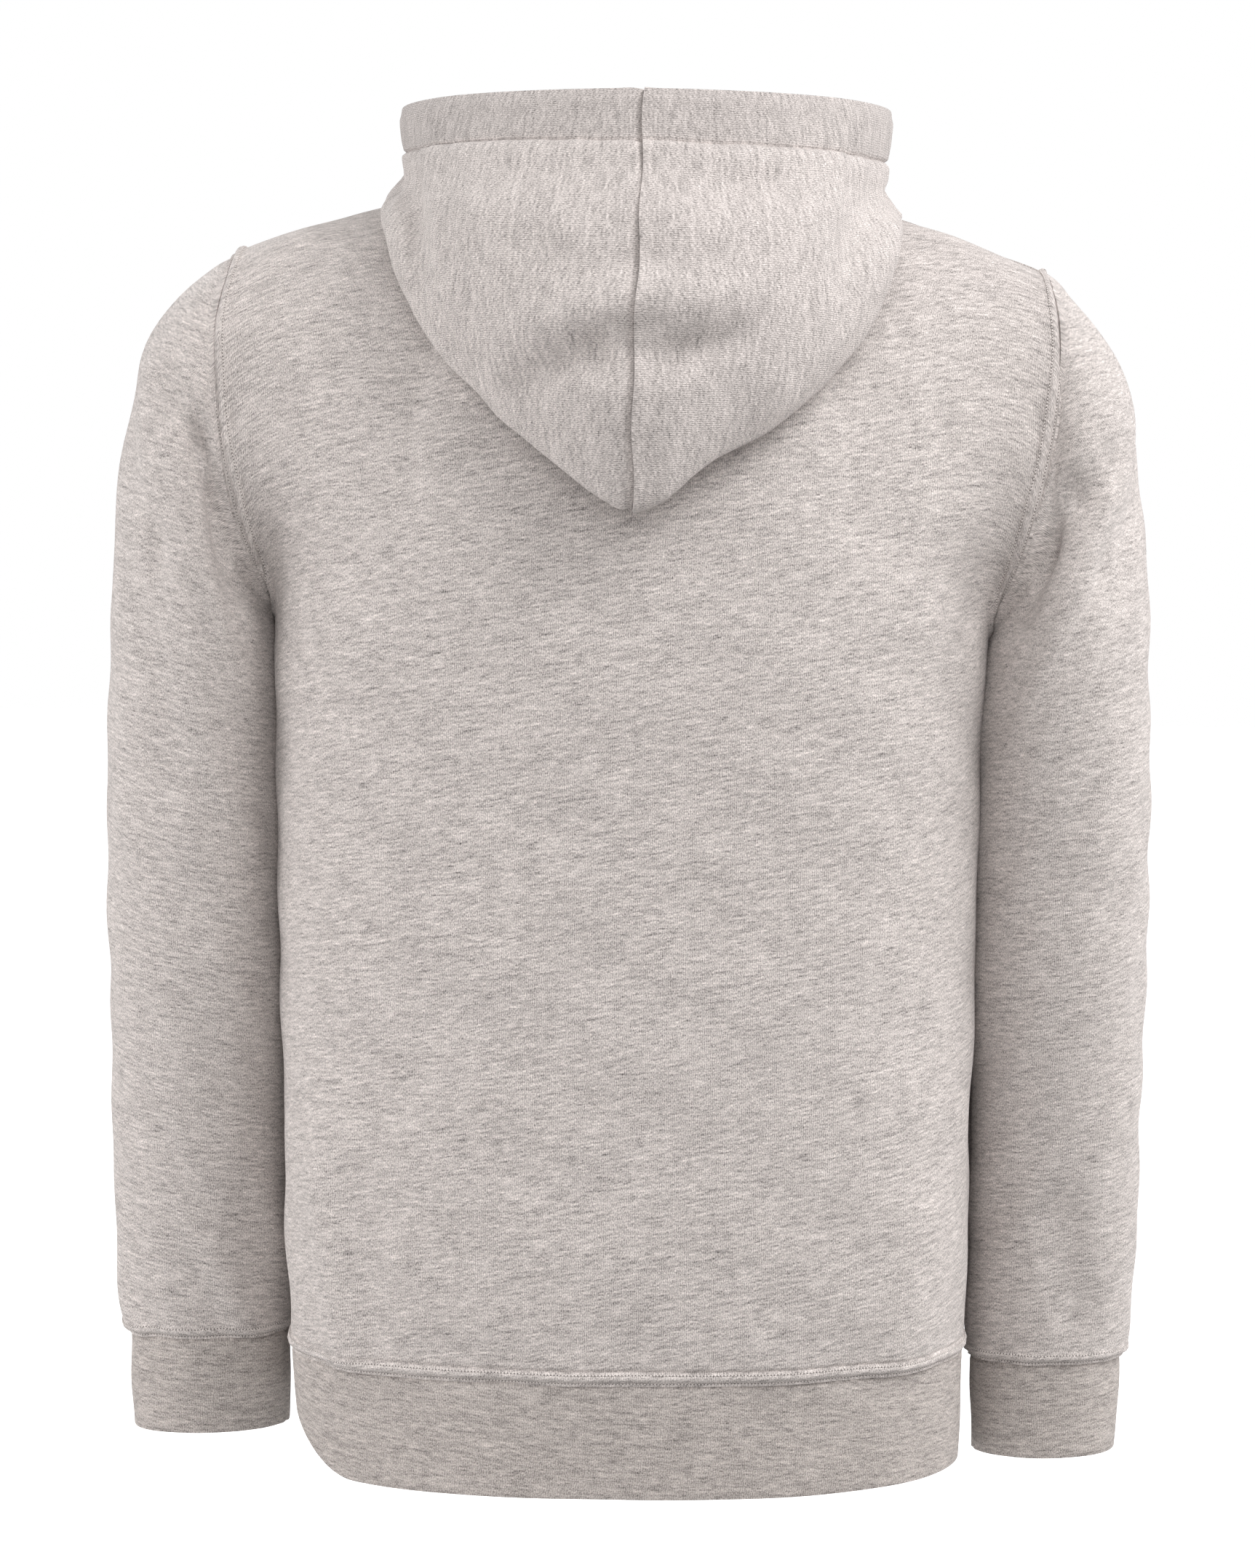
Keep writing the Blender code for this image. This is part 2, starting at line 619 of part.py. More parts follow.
def main():
    clear_scene()
    pieces = bpy.data.collections.new(GARMENT)
    bpy.context.scene.collection.children.link(pieces)
    panels = [panel_grid(side, BODY_COLUMNS, LOWER_ROWS, YOKE_ROWS) for side in (1, -1)]
    body = surface_tree(panels)
    for piece in (
        make_panel("back_panel", 1),
        make_panel("front_panel", -1),
        make_sleeve("sleeve_left", False),
        make_sleeve("sleeve_right", True),
        make_cuff("cuff_left", False),
        make_cuff("cuff_right", True),
        make_hem_band("hem_band"),
        make_hood_half("hood_left", False, body),
        make_hood_half("hood_right", True, body),
    ):
        pieces.objects.link(piece)


main()
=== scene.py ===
"""Dresses the pullover hoodie in brushed heather fleece, with its seams, stitching and a studio."""

import json
import math
from collections import namedtuple

import bpy
import numpy as np
from mathutils import Matrix, Vector
from mathutils.bvhtree import BVHTree

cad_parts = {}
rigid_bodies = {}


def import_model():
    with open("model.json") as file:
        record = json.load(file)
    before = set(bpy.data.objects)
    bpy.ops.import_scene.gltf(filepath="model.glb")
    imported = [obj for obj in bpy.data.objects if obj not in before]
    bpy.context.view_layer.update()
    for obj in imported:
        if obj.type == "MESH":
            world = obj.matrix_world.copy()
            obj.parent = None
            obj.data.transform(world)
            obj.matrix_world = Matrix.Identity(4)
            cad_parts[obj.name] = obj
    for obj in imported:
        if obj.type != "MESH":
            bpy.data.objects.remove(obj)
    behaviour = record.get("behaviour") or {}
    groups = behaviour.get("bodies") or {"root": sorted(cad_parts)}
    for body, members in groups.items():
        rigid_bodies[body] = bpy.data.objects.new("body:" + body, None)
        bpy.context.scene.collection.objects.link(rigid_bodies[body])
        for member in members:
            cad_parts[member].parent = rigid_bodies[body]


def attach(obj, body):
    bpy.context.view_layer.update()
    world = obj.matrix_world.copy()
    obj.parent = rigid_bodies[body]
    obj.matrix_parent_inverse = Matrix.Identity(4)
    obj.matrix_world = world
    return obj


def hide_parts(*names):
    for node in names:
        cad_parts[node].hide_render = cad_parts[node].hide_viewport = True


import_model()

bl_info = {
    "name": "Fleece hoodie",
    "version": (1, 0, 0),
    "blender": (4, 5, 0),
    "location": "3D View > Sidebar > Hoodie",
    "description": "Builds the cloth, seams, stitching and studio of a pullover hoodie",
    "category": "Add Mesh",
}

CLOTH_MAP = "cloth"


def table(columns, *rows):
    """Rows whose values are read by the columns' names."""
    row_kind = namedtuple("Row", columns)
    return tuple(row_kind(*row) for row in rows)


# Cloth
FLEECE_THICKNESS = 0.0020
RIB_THICKNESS = 0.0030
HOOD_HEM_THICKNESS = 0.0040
SEAM_GAP = 0.0003
SHOULDER_SEAM_PULL = 0.0003
NECK_SEAM_LIFT = 0.0012
HOOD_TO_BODY = 0.0053
EDGE_ROUND = 0.42
HEM_EDGE_ROUND = 0.4
EDGE_ANGLE = math.radians(62)

# Pieces: the flat cut of what shows, the seed and the slow swell of the cloth, and how far from its
# own seam the gathers reach
PIECES = {piece.name: piece for piece in table(
    "name slot width length area held seed swell swell_lengths gathers",
    ("back_panel", "fleece", 0.540, 0.690, 0.310, "hung", 11, 0.0009, (0.16, 0.09, 0.055), 0.013),
    ("front_panel", "fleece", 0.540, 0.650, 0.300, "hung", 12, 0.0009, (0.16, 0.09, 0.055), 0.013),
    ("sleeve_left", "fleece", 0.440, 0.610, 0.170, "hung", 41, 0.0009, (0.14, 0.08, 0.05), 0.010),
    ("sleeve_right", "fleece", 0.440, 0.610, 0.170, "hung", 42, 0.0009, (0.14, 0.08, 0.05), 0.010),
    ("cuff_left", "rib", 0.240, 0.054, None, "hung", 61, 0.0006, (0.06, 0.035), 0.006),
    ("cuff_right", "rib", 0.240, 0.054, None, "hung", 62, 0.0006, (0.06, 0.035), 0.006),
    ("hem_band", "rib", 0.970, 0.062, None, "hung", 71, 0.0007, (0.14, 0.06), 0.007),
    ("hood_left", "hood_fleece", 0.330, 0.360, 0.075, "folded", 82, 0.0009, (0.10, 0.06, 0.035), 0.008),
    ("hood_right", "hood_fleece", 0.330, 0.360, 0.075, "folded", 81, 0.0009, (0.10, 0.06, 0.035), 0.008),
)}

# Body: a rounded tube from the hem seam to the underarm, then panels that curve in to the shoulders
HEM_SEAM_Z = -0.641
UNDERARM_Z = -0.235
SHOULDER_X = 0.224
SHOULDER_Z = -0.0415
BODY_SECTIONS = table(
    "height half_width back_depth front_depth power",
    (-0.641, 0.1882, 0.114, 0.114, 2.30),
    (-0.600, 0.1897, 0.117, 0.118, 2.45),
    (-0.520, 0.1897, 0.118, 0.120, 2.60),
    (-0.420, 0.1902, 0.118, 0.121, 2.60),
    (-0.340, 0.1915, 0.119, 0.122, 2.60),
    (-0.280, 0.1930, 0.121, 0.123, 2.60),
    (-0.235, 0.1960, 0.121, 0.123, 2.60),
)

# Neck seam: half an oval at the back, half at the front
NECK_HALF_WIDTH = 0.088
NECK_BACK_DEPTH = 0.078
NECK_FRONT_DEPTH = 0.080
NECK_BACK_DROP = 0.018
NECK_FRONT_DROP = 0.085
NECK_SHARE = 0.5
SHOULDER_ROUND = 0.0028

# Armhole: the seam's distance from the middle, from the underarm up, and its half depth
ARMHOLE_POINTS = table(
    "height_share distance",
    (0.00, 0.1960),
    (0.15, 0.2085),
    (0.35, 0.2185),
    (0.60, 0.2265),
    (0.80, 0.2290),
    (1.00, 0.2240),
)
ARMHOLE_HALF_DEPTH = 0.062
ARMHOLE_WRAP = 4
UNDERARM_WRAP = 16
UNDERARM_REACH = 0.12
ARMHOLE_FADE = 5.0
ARMHOLE_FADE_POWER = 1.5

# Sleeve: each ring has an inner point beside the body and an outer point on the sleeve's far line
SLEEVE_RINGS = table(
    "inner_x inner_z outer_x outer_z middle_y half_depth",
    (0.1960, -0.2350, 0.2240, -0.0415, 0.000, 0.0620),
    (0.1990, -0.2400, 0.2360, -0.0495, 0.000, 0.0650),
    (0.1985, -0.2480, 0.2545, -0.0690, 0.000, 0.0680),
    (0.1975, -0.2590, 0.2710, -0.0965, 0.000, 0.0700),
    (0.1960, -0.2740, 0.2805, -0.1370, 0.000, 0.0710),
    (0.1942, -0.2950, 0.2845, -0.1880, -0.002, 0.0700),
    (0.1930, -0.3250, 0.2875, -0.2500, -0.006, 0.0680),
    (0.1920, -0.3700, 0.2905, -0.3200, -0.011, 0.0650),
    (0.1912, -0.4300, 0.2915, -0.4000, -0.017, 0.0600),
    (0.1908, -0.5000, 0.2910, -0.4850, -0.024, 0.0530),
    (0.1905, -0.5700, 0.2900, -0.5650, -0.030, 0.0460),
    (0.1900, -0.6280, 0.2885, -0.6280, -0.035, 0.0415),
    (0.1925, -0.6480, 0.2845, -0.6480, -0.036, 0.0380),
)
SLEEVE_POWER = 2.15
SLEEVE_AROUND = 100

# How a sleeve's lower end hangs: its width against the table's, and its far side's drop
LEFT_HANG, RIGHT_HANG = table("wider drop", (0.035, 0.004), (-0.045, -0.004))
SLEEVE_INNER_X = 0.190
SLEEVE_END_Z = -0.650
SLEEVE_END_WIDTH = 0.095

# Cuff: a ribbed tube that goes on from the sleeve's last ring
CUFF_HEIGHT = 0.053
CUFF_SCALES = (0.965, 0.93)
CUFF_RADIUS = 0.04

# Hem band, whose lower edge is hitched up a little at the left side
HEM_HEIGHT = 0.061
HEM_SCALES = (0.997, 0.985)
HEM_LIFT = 0.034
HEM_LIFT_START = 0.145
HEM_QUARTER_STEPS = 72

# Hood: profiles in upright planes through the neck's middle. Each runs from the neck seam down the
# back, round the lowest fold, up the outside and over to the edge, as (radius, height) pairs
HOOD_PROFILES = table(
    "azimuth under fold low high throat edge",
    (90, (0.119, -0.090), (0.150, -0.177), (0.169, -0.125),
     (0.167, -0.040), (0.146, 0.006), (0.1355, 0.0385)),
    (73, (0.119, -0.080), (0.1465, -0.154), (0.165, -0.110),
     (0.165, -0.036), (0.145, 0.007), (0.1350, 0.0385)),
    (55, (0.118, -0.060), (0.148, -0.119), (0.162, -0.085),
     (0.160, -0.028), (0.144, 0.009), (0.1350, 0.0390)),
    (40, (0.116, -0.036), (0.155, -0.078), (0.161, -0.054),
     (0.152, -0.020), (0.142, 0.011), (0.1360, 0.0395)),
    (28, (0.114, -0.016), (0.153, -0.041), (0.156, -0.030),
     (0.142, -0.009), (0.1385, 0.013), (0.1370, 0.0395)),
    (14, (0.112, -0.006), (0.141, -0.023), (0.1435, -0.016),
     (0.1330, -0.002), (0.1350, 0.014), (0.1370, 0.0395)),
    (-15, (0.100, 0.002), (0.118, 0.000), (0.123, 0.005),
     (0.122, 0.011), (0.124, 0.017), (0.128, 0.0370)),
    (-50, (0.086, -0.043), (0.091, -0.036), (0.095, -0.029),
     (0.098, -0.022), (0.099, -0.016), (0.100, 0.005)),
    (-90, (0.082, -0.082), (0.085, -0.079), (0.0875, -0.076),
     (0.0895, -0.073), (0.091, -0.070), (0.099, -0.046)),
)
# How much lower the fold of the hood's right half hangs than the left half's
RIGHT_HOOD_DROOP = table(
    "azimuth drop",
    (-90, 0.0), (14, 0.0), (28, 0.001), (40, 0.006), (55, 0.005), (73, -0.004), (90, 0.0),
)
HOOD_LOW_DROOP_SHARE = 0.6
HOOD_HEM_WIDTH = 0.026
HOOD_HEM_SPREAD = 0.003
HOOD_LEVEL = 0.019
HOOD_LEVEL_LOW_Z = 0.004
HOOD_LEVEL_HIGH_Z = 0.030
HOOD_SLIP = 0.005
HOOD_SLIP_REACH = 0.04
HOOD_REST_REACH = 0.007
HOOD_SEAM_TO_FRONT = 0.30
# Points along a hood profile: up to the hem's fold, closely across it, and on to the edge
HOOD_POINTS = (96, 11, 9)
HOOD_CLOSE_SHARE = 0.018

# How the garment hangs: its right side lower, its top and hem drawn to the right
SIDE_DROP = 0.015
SIDE_LEAN = 0.013
LEAN_FREE_Z = -0.30
HEM_RISE = 0.031

# Soft folds and small creases: across runs along a section from the panel's middle or the sleeve's
# outer line, and a fold of negative depth is a swell
FOLD_COLUMNS = "from_across from_z to_across to_z half_width depth"
FOLDS = {
    "back_panel": table(
        FOLD_COLUMNS,
        (0.165, -0.535, 0.150, -0.636, 0.022, -0.0040),
        (-0.170, -0.550, -0.160, -0.636, 0.022, -0.0030),
        (-0.215, -0.210, -0.170, -0.300, 0.016, 0.0016),
        (0.215, -0.205, 0.165, -0.290, 0.016, 0.0016),
        (0.120, -0.600, 0.160, -0.560, 0.012, 0.0009),
        (-0.060, -0.630, -0.030, -0.600, 0.010, 0.0006),
        (0.150, -0.545, 0.135, -0.630, 0.012, 0.0026),
        (0.172, -0.540, 0.158, -0.634, 0.011, -0.0030),
    ),
    "front_panel": table(
        FOLD_COLUMNS,
        (0.210, -0.215, 0.150, -0.300, 0.018, 0.0016),
        (-0.210, -0.210, -0.160, -0.290, 0.018, 0.0014),
        (0.150, -0.560, 0.165, -0.635, 0.020, -0.0025),
        (-0.140, -0.575, -0.160, -0.635, 0.020, -0.0022),
    ),
    "sleeve_left": table(
        FOLD_COLUMNS,
        (0.025, -0.130, 0.085, -0.205, 0.020, 0.0050),
        (0.080, -0.205, 0.088, -0.330, 0.018, 0.0040),
        (0.000, -0.130, 0.000, -0.220, 0.060, -0.0030),
        (0.050, -0.370, 0.095, -0.400, 0.014, 0.0016),
        (0.040, -0.600, 0.075, -0.620, 0.012, 0.0012),
        (-0.060, -0.380, -0.100, -0.350, 0.018, 0.0030),
        (-0.050, -0.430, -0.095, -0.420, 0.016, 0.0022),
    ),
    "sleeve_right": table(
        FOLD_COLUMNS,
        (0.015, -0.145, 0.080, -0.200, 0.022, 0.0070),
        (0.075, -0.560, 0.060, -0.615, 0.014, 0.0035),
        (0.000, -0.060, 0.000, -0.190, 0.060, 0.0035),
        (0.045, -0.390, 0.095, -0.370, 0.014, 0.0014),
        (0.020, -0.600, 0.060, -0.625, 0.010, 0.0012),
        (-0.060, -0.370, -0.100, -0.345, 0.018, 0.0030),
        (-0.050, -0.425, -0.095, -0.410, 0.016, 0.0020),
    ),
    "hem_band": table(FOLD_COLUMNS, (0.150, -0.636, 0.146, -0.672, 0.020, -0.0016)),
}

# Folds of the sleeves' backs, by place across the hung garment and height: three down from the
# shoulder to the underarm, and the swell above them
SHOULDER_FOLDS = {
    "sleeve_left": table(
        FOLD_COLUMNS,
        (0.2513, -0.1158, 0.2295, -0.1426, 0.009, 0.0045),
        (0.2295, -0.1426, 0.2152, -0.1679, 0.010, 0.0060),
        (0.2152, -0.1679, 0.2060, -0.2200, 0.010, 0.0070),
        (0.2360, -0.1040, 0.2120, -0.1440, 0.010, -0.0030),
    ),
    "sleeve_right": table(
        FOLD_COLUMNS,
        (-0.2631, -0.1428, -0.2400, -0.1660, 0.009, 0.0050),
        (-0.2400, -0.1660, -0.2171, -0.1957, 0.011, 0.0062),
        (-0.2171, -0.1957, -0.2060, -0.2300, 0.011, 0.0070),
        (-0.2530, -0.1290, -0.2230, -0.1600, 0.011, -0.0034),
    ),
}

# Dips and swells of the hood's outer layer, seen square on from the back
HOOD_DENTS = table(
    "x z half_x half_z depth turn",
    (0.024, -0.103, 0.032, 0.010, 0.0085, -24),
    (-0.028, -0.098, 0.026, 0.009, 0.0080, -16),
    (0.022, -0.078, 0.036, 0.012, -0.0062, -20),
    (-0.034, -0.072, 0.034, 0.012, -0.0062, -12),
    (-0.010, -0.052, 0.014, 0.008, 0.0030, -8),
    (0.040, -0.050, 0.026, 0.011, 0.0022, 14),
    (-0.030, -0.030, 0.022, 0.013, -0.0022, 0),
    (0.070, -0.030, 0.026, 0.012, -0.0018, 0),
    (-0.058, -0.012, 0.026, 0.010, 0.0042, -14),
    (-0.012, 0.002, 0.012, 0.005, 0.0024, -30),
    (0.116, -0.034, 0.034, 0.007, 0.0065, 82),
    (-0.116, -0.034, 0.034, 0.007, 0.0065, -82),
    (0.050, -0.120, 0.030, 0.010, 0.0016, -50),
    (-0.052, -0.118, 0.030, 0.011, 0.0016, 48),
)
HOOD_OUTER_REACH = 0.20

# Seams, as ridges and dips at places measured from the seam or the edge
RIDGE_COLUMNS = "place half_width height"
SEAM_ROWS = (0.0014, 0.0078)
TWIN_NEEDLE_RIDGES = table(
    RIDGE_COLUMNS,
    (sum(SEAM_ROWS) / 2, 0.0026, 0.0017),
    (SEAM_ROWS[0], 0.0011, -0.0013),
    (SEAM_ROWS[1], 0.0011, -0.0013),
    (0.0, 0.0009, -0.0004),
)
HOOD_HEM_RIDGES = table(
    RIDGE_COLUMNS,
    (0.0, 0.0012, -0.0020),
    (0.008, 0.007, 0.0020),
    (-0.007, 0.006, 0.0006),
)
HOOD_EDGE_RIDGES = table(RIDGE_COLUMNS, (0.0, 0.0045, -0.0026))
HOOD_SEAM_RIDGES = {
    "hood_left": table(RIDGE_COLUMNS, (0.0, 0.0035, -0.0016), (0.009, 0.004, 0.0006)),
    "hood_right": table(RIDGE_COLUMNS, (0.0, 0.004, 0.0010)),
}
HOOD_HEM_TILT = 0.0022
HOOD_HEM_PIVOT = 0.4
HOOD_HEM_STEP = 0.001
HOOD_SWELL_START = 0.03
HOOD_SEAM_WAVES = table("height length phase", (0.0007, 0.009, 0.0), (0.0005, 0.023, 1.0))
HOOD_SEAM_WAVE_REACH = 0.012
HOOD_SEAM_SHIFT = {"hood_left": 0.0002, "hood_right": -0.0004}
PLAIN_SEAMS = {piece: table(RIDGE_COLUMNS, (0.0, half_width, -depth), (0.004, 0.003, depth * 0.4))
               for piece, half_width, depth in (
                   ("panel", 0.0012, 0.0009), ("sleeve", 0.0010, 0.0008), ("cuff", 0.0009, 0.0010))}
SEAM_TUCK = 0.0012
TUCK_REACH = 0.0014
SLEEVE_TUCK = 0.0026
SLEEVE_SINK = 0.0005
SLEEVE_SINK_REACH = 0.0022
SLEEVE_SINK_Z = -0.10
SLEEVE_SINK_FADE = 0.03
SLEEVE_FOLD_REACH = 0.010
SIDE_SEAM_GAP = 0.0001
SIDE_SEAM_FADE_ROWS = 4
PUCKER = 0.00045
PUCKER_REACH = 0.013
ARMHOLE_SEEDS = (31, 32)
PUCKER_LENGTHS = (0.0075, 0.011, 0.017, 0.026)
UNDERARM_SEAM_TURN = 168.0
SIDE_SWELL = 0.0032
SIDE_SWELL_REACH = 0.045
SIDE_SWELL_TOP_Z = UNDERARM_Z + 0.012
SIDE_SWELL_RISE = 0.035
SIDE_SWELL_END_Z = -0.52
SIDE_SWELL_FADE = 0.08
UNDERARM_FOLD_Z = -0.198
UNDERARM_FOLD_REACH = 0.034
UNDERARM_RIDGES = table(RIDGE_COLUMNS, (0.004, 0.012, 0.0026))
UNDERARM_DIP = 0.0105
UNDERARM_DIP_START = 0.0035
UNDERARM_DIP_REACH = 0.024
UNDERARM_DIP_FACING = 0.25
UNDERARM_DIP_SHARPNESS = 2.5
BACK_SHARPNESS = 3

# Mesh steps, in metres
FINE_STEP = 0.0008
FINE_REACH = 0.011
OPEN_STEP = 0.0042
LINE_STEP = 0.0004
FINE_STEPS = 400
SECTION_DEPTH_SHARE = 0.8
YOKE_ROWS_SHARE = 1.35
EASE_REACH = 14
EASE_EDGE = 12
EASE_PASSES = 40
CHUNK = 4000

# Stitches: rounded bars of thread, and between them dark discs of painted shade that stand for the needle
# holes
STITCH_SIDES = 5
STITCH_RINGS = table("place share", (-0.36, 0.85), (0.0, 1.0), (0.36, 0.85))
ARMHOLE_HOLES = 0.9
HOLE_DEPTH = 0.35
THREADS = (("sewing_thread", "thread"), ("needle_holes", "holes"))

# Knits: the share of colour that the turned hem keeps under its painted shade, the turn of the fibre
# streaks in degrees, the size of the grains, and how much the wales, the relief, the streaks and the sheen
# show
KNITS = {knit.slot: knit for knit in table(
    "slot name colour wale hem_share grain_turn grain_size wale_contrast relief streaks sheen",
    ("fleece", "brushed_fleece", "fleece", "wale_width",
     1.0, -8.0, (0.00060, 0.00110), 0.24, 0.40, 1.0, 0.25),
    ("hood_fleece", "hood_fleece_knit", "hood", "wale_width",
     0.86, 90.0, (0.00110, 0.00060), 0.24, 0.40, 0.78, 0.25),
    ("rib", "rib_knit", "rib", "rib_width",
     1.0, -3.0, (0.00060, 0.00100), 0.20, 0.45, 1.0, 0.12),
)}
# Fibres: noise in flecks of a length and height in metres, turned by a share of the knit's turn.
# Flecks begin to show at the low mark and are full at the high one. Each knit sizes its own grains
FIBRES = table(
    "name length height turn detail roughness depth low high",
    ("patches", 0.0170, 0.0042, 1.0, 2.0, 0.6, 67.0, None, None),
    ("long_streaks", 0.0120, 0.00190, 1.0, 2.0, 0.62, 1.0, None, None),
    ("short_streaks", 0.0046, 0.00130, 1.3, 2.0, 0.62, 7.0, None, None),
    ("clouds", 0.0450, 0.0150, 1.0, 2.0, 0.5, 13.0, None, None),
    ("grains", None, None, 0.0, 1.0, 0.5, 19.0, None, None),
    ("dark_flecks", 0.0100, 0.00120, 1.0, 2.0, 0.6, 41.0, 0.56, 0.74),
    ("pale_flecks", 0.0070, 0.00085, 1.0, 2.0, 0.6, 53.0, 0.58, 0.76),
    ("lint", 0.0009, 0.0007, 0.0, 1.0, 0.5, 83.0, 0.66, 0.74),
    ("drift", 0.004, 0.004, 0.0, 1.0, 0.5, 3.0, None, None),
    ("fuzz", 0.0005, 0.0005, 0.0, 3.0, 0.7, 29.0, None, None),
)
# How strongly each layer lightens the cloth above its middle value. The ridges of the wales take
# their strength from the knit, and the streaked layers are weighed by its streaks
TONES = table(
    "layer middle strength streaked",
    ("patches", 0.5, 0.55, True),
    ("long_streaks", 0.5, 0.95, True),
    ("short_streaks", 0.5, 1.05, True),
    ("clouds", 0.5, 0.25, False),
    ("grains", 0.5, 1.75, False),
    ("ridge", 0.637, None, False),
    ("loops", 0.5, 0.06, False),
    ("dark_flecks", 0.10, -0.24, True),
    ("pale_flecks", 0.08, 0.36, True),
    ("lint", 0.02, 0.50, False),
)
# Knit relief: how far the wales drift and the loops slant, and the layers that roughen them
WALE_DRIFT = 0.9
LOOP_SLANT = 1.4
LOOP_SHARE = 0.45
ROUGH_LAYERS = (("fuzz", 0.9), ("grains", 0.8), ("long_streaks", 0.5))

# Studio
LIGHTS = table(
    "name place aim size share",
    ("key_light", (-1.35, 1.0, 1.5), (0.0, 0.0, -0.3), 1.2, 1.0),
    ("front_fill", (0.0, 3.0, 0.3), (0.0, 0.0, -0.3), 2.0, 0.62),
    ("right_box", (-2.0, -0.35, -0.5), (-0.2, 0.0, -0.3), 1.2, 0.48),
    ("left_box", (2.0, 0.3, -0.6), (0.2, 0.0, -0.3), 1.2, 0.71),
)
FLOOR_RADIUS = 14.0
SURROUND_SPREAD = 0.3
SURROUND_EDGE = 0.6
SENSOR_HEIGHT = 36.0


# ---------------------------------------------------------------------------
# Curves and shares


def limited(share):
    return np.clip(share, 0.0, 1.0)


def eased(share):
    return share * share * (3 - 2 * share)


def hump(distance, half_width):
    """A rounded ridge's share of its full height at a distance from its line."""
    return np.exp(-(distance / half_width) ** 2)


def smooth(keys, values, at):
    """Reads a smooth curve through rows of values at the given keys."""
    slopes = np.gradient(values, keys, axis=0)
    first = np.clip(np.searchsorted(keys, at, side="right") - 1, 0, len(keys) - 2)
    span = keys[first + 1] - keys[first]
    share = (at - keys[first]) / span
    if values.ndim > 1:
        share, span = share[..., None], span[..., None]
    lift_first = share * (1 - share) ** 2 * span
    lift_second = -share * share * (1 - share) * span
    between = values[first] * (1 - eased(share)) + values[first + 1] * eased(share)
    return between + slopes[first] * lift_first + slopes[first + 1] * lift_second


def line_lengths(points):
    """Distance along a line of points from its start."""
    steps = np.linalg.norm(np.diff(points, axis=0), axis=1)
    return np.concatenate(([0.0], np.cumsum(steps)))


def along_length(points, shares):
    """Points at the given shares of a line's length."""
    length = line_lengths(points)
    return np.stack([np.interp(shares * length[-1], length, column) for column in points.T], axis=1)


def dense_line(points):
    """A line of points read at close steps."""
    count = int(line_lengths(points)[-1] / LINE_STEP) + 2
    return along_length(points, np.linspace(0.0, 1.0, count))


def fine_from_ends(length, at_start, at_end):
    """Shares of a length, closer together near the ends that carry a seam."""
    places = [0.0]
    while places[-1] < length:
        from_start = places[-1] if at_start else length
        from_end = length - places[-1] if at_end else length
        places.append(places[-1] + (FINE_STEP if min(from_start, from_end) < FINE_REACH else OPEN_STEP))
    return np.array(places) / places[-1]


# ---------------------------------------------------------------------------
# Form of the garment


def quarter_section(half_width, depth, power, shares):
    """A rounded quarter section, from the panel's middle to its side, at shares of its length."""
    angle = np.linspace(0.0, math.pi / 2, FINE_STEPS)
    across = half_width * np.sin(angle) ** (2 / power)
    outward = depth * np.cos(angle) ** (2 / power)
    return along_length(np.stack([across, outward], axis=1), shares).T


def body_section(z):
    """Half width, back depth, front depth and power of the body's section at a height."""
    rows = np.array(BODY_SECTIONS)
    return smooth(rows[:, 0], rows[:, 1:], np.clip(z, rows[0, 0], rows[-1, 0]))


def panel_section(z, side, shares):
    """A panel's places across and outward at a height; side is 1 for the back and -1 for the front."""
    half_width, back_depth, front_depth, power = body_section(z)
    return quarter_section(half_width, back_depth if side > 0 else front_depth, power, shares)


def hem_level(across, z):
    """Heights of the body's lower rows, whose right side rises towards the hem."""
    down = np.clip((z - UNDERARM_Z) / (HEM_SEAM_Z - UNDERARM_Z), 0.0, None)
    return z - HEM_RISE * across * down * down


def neck_point(azimuth):
    """The neck seam at an angle from the side, 90 at the back and -90 at the front."""
    turn = math.radians(azimuth)
    depth, drop = (NECK_BACK_DEPTH, NECK_BACK_DROP) if azimuth >= 0 else (NECK_FRONT_DEPTH, NECK_FRONT_DROP)
    return np.array([NECK_HALF_WIDTH * math.cos(turn), depth * math.sin(turn), -drop * math.sin(turn) ** 2])


def top_edge(share, side):
    """A panel's top edge: the neck seam out to NECK_SHARE of the half width, then the shoulder seam."""
    if share <= NECK_SHARE:
        return neck_point(side * 90 * (1 - share / NECK_SHARE))
    out = (share - NECK_SHARE) / (1 - NECK_SHARE)
    neck_side = np.array([NECK_HALF_WIDTH, 0.0, 0.0])
    rounded = np.array([0.0, 0.0, 4 * SHOULDER_ROUND * out * (1 - out)])
    return neck_side + out * (np.array([SHOULDER_X, 0.0, SHOULDER_Z]) - neck_side) + rounded


def armhole_distance(height_share):
    rows = np.array(ARMHOLE_POINTS)
    return smooth(rows[:, 0], rows[:, 1], height_share)


def armhole_depth(height_share):
    return ARMHOLE_HALF_DEPTH * np.sqrt(np.clip(4 * height_share * (1 - height_share), 0, None))


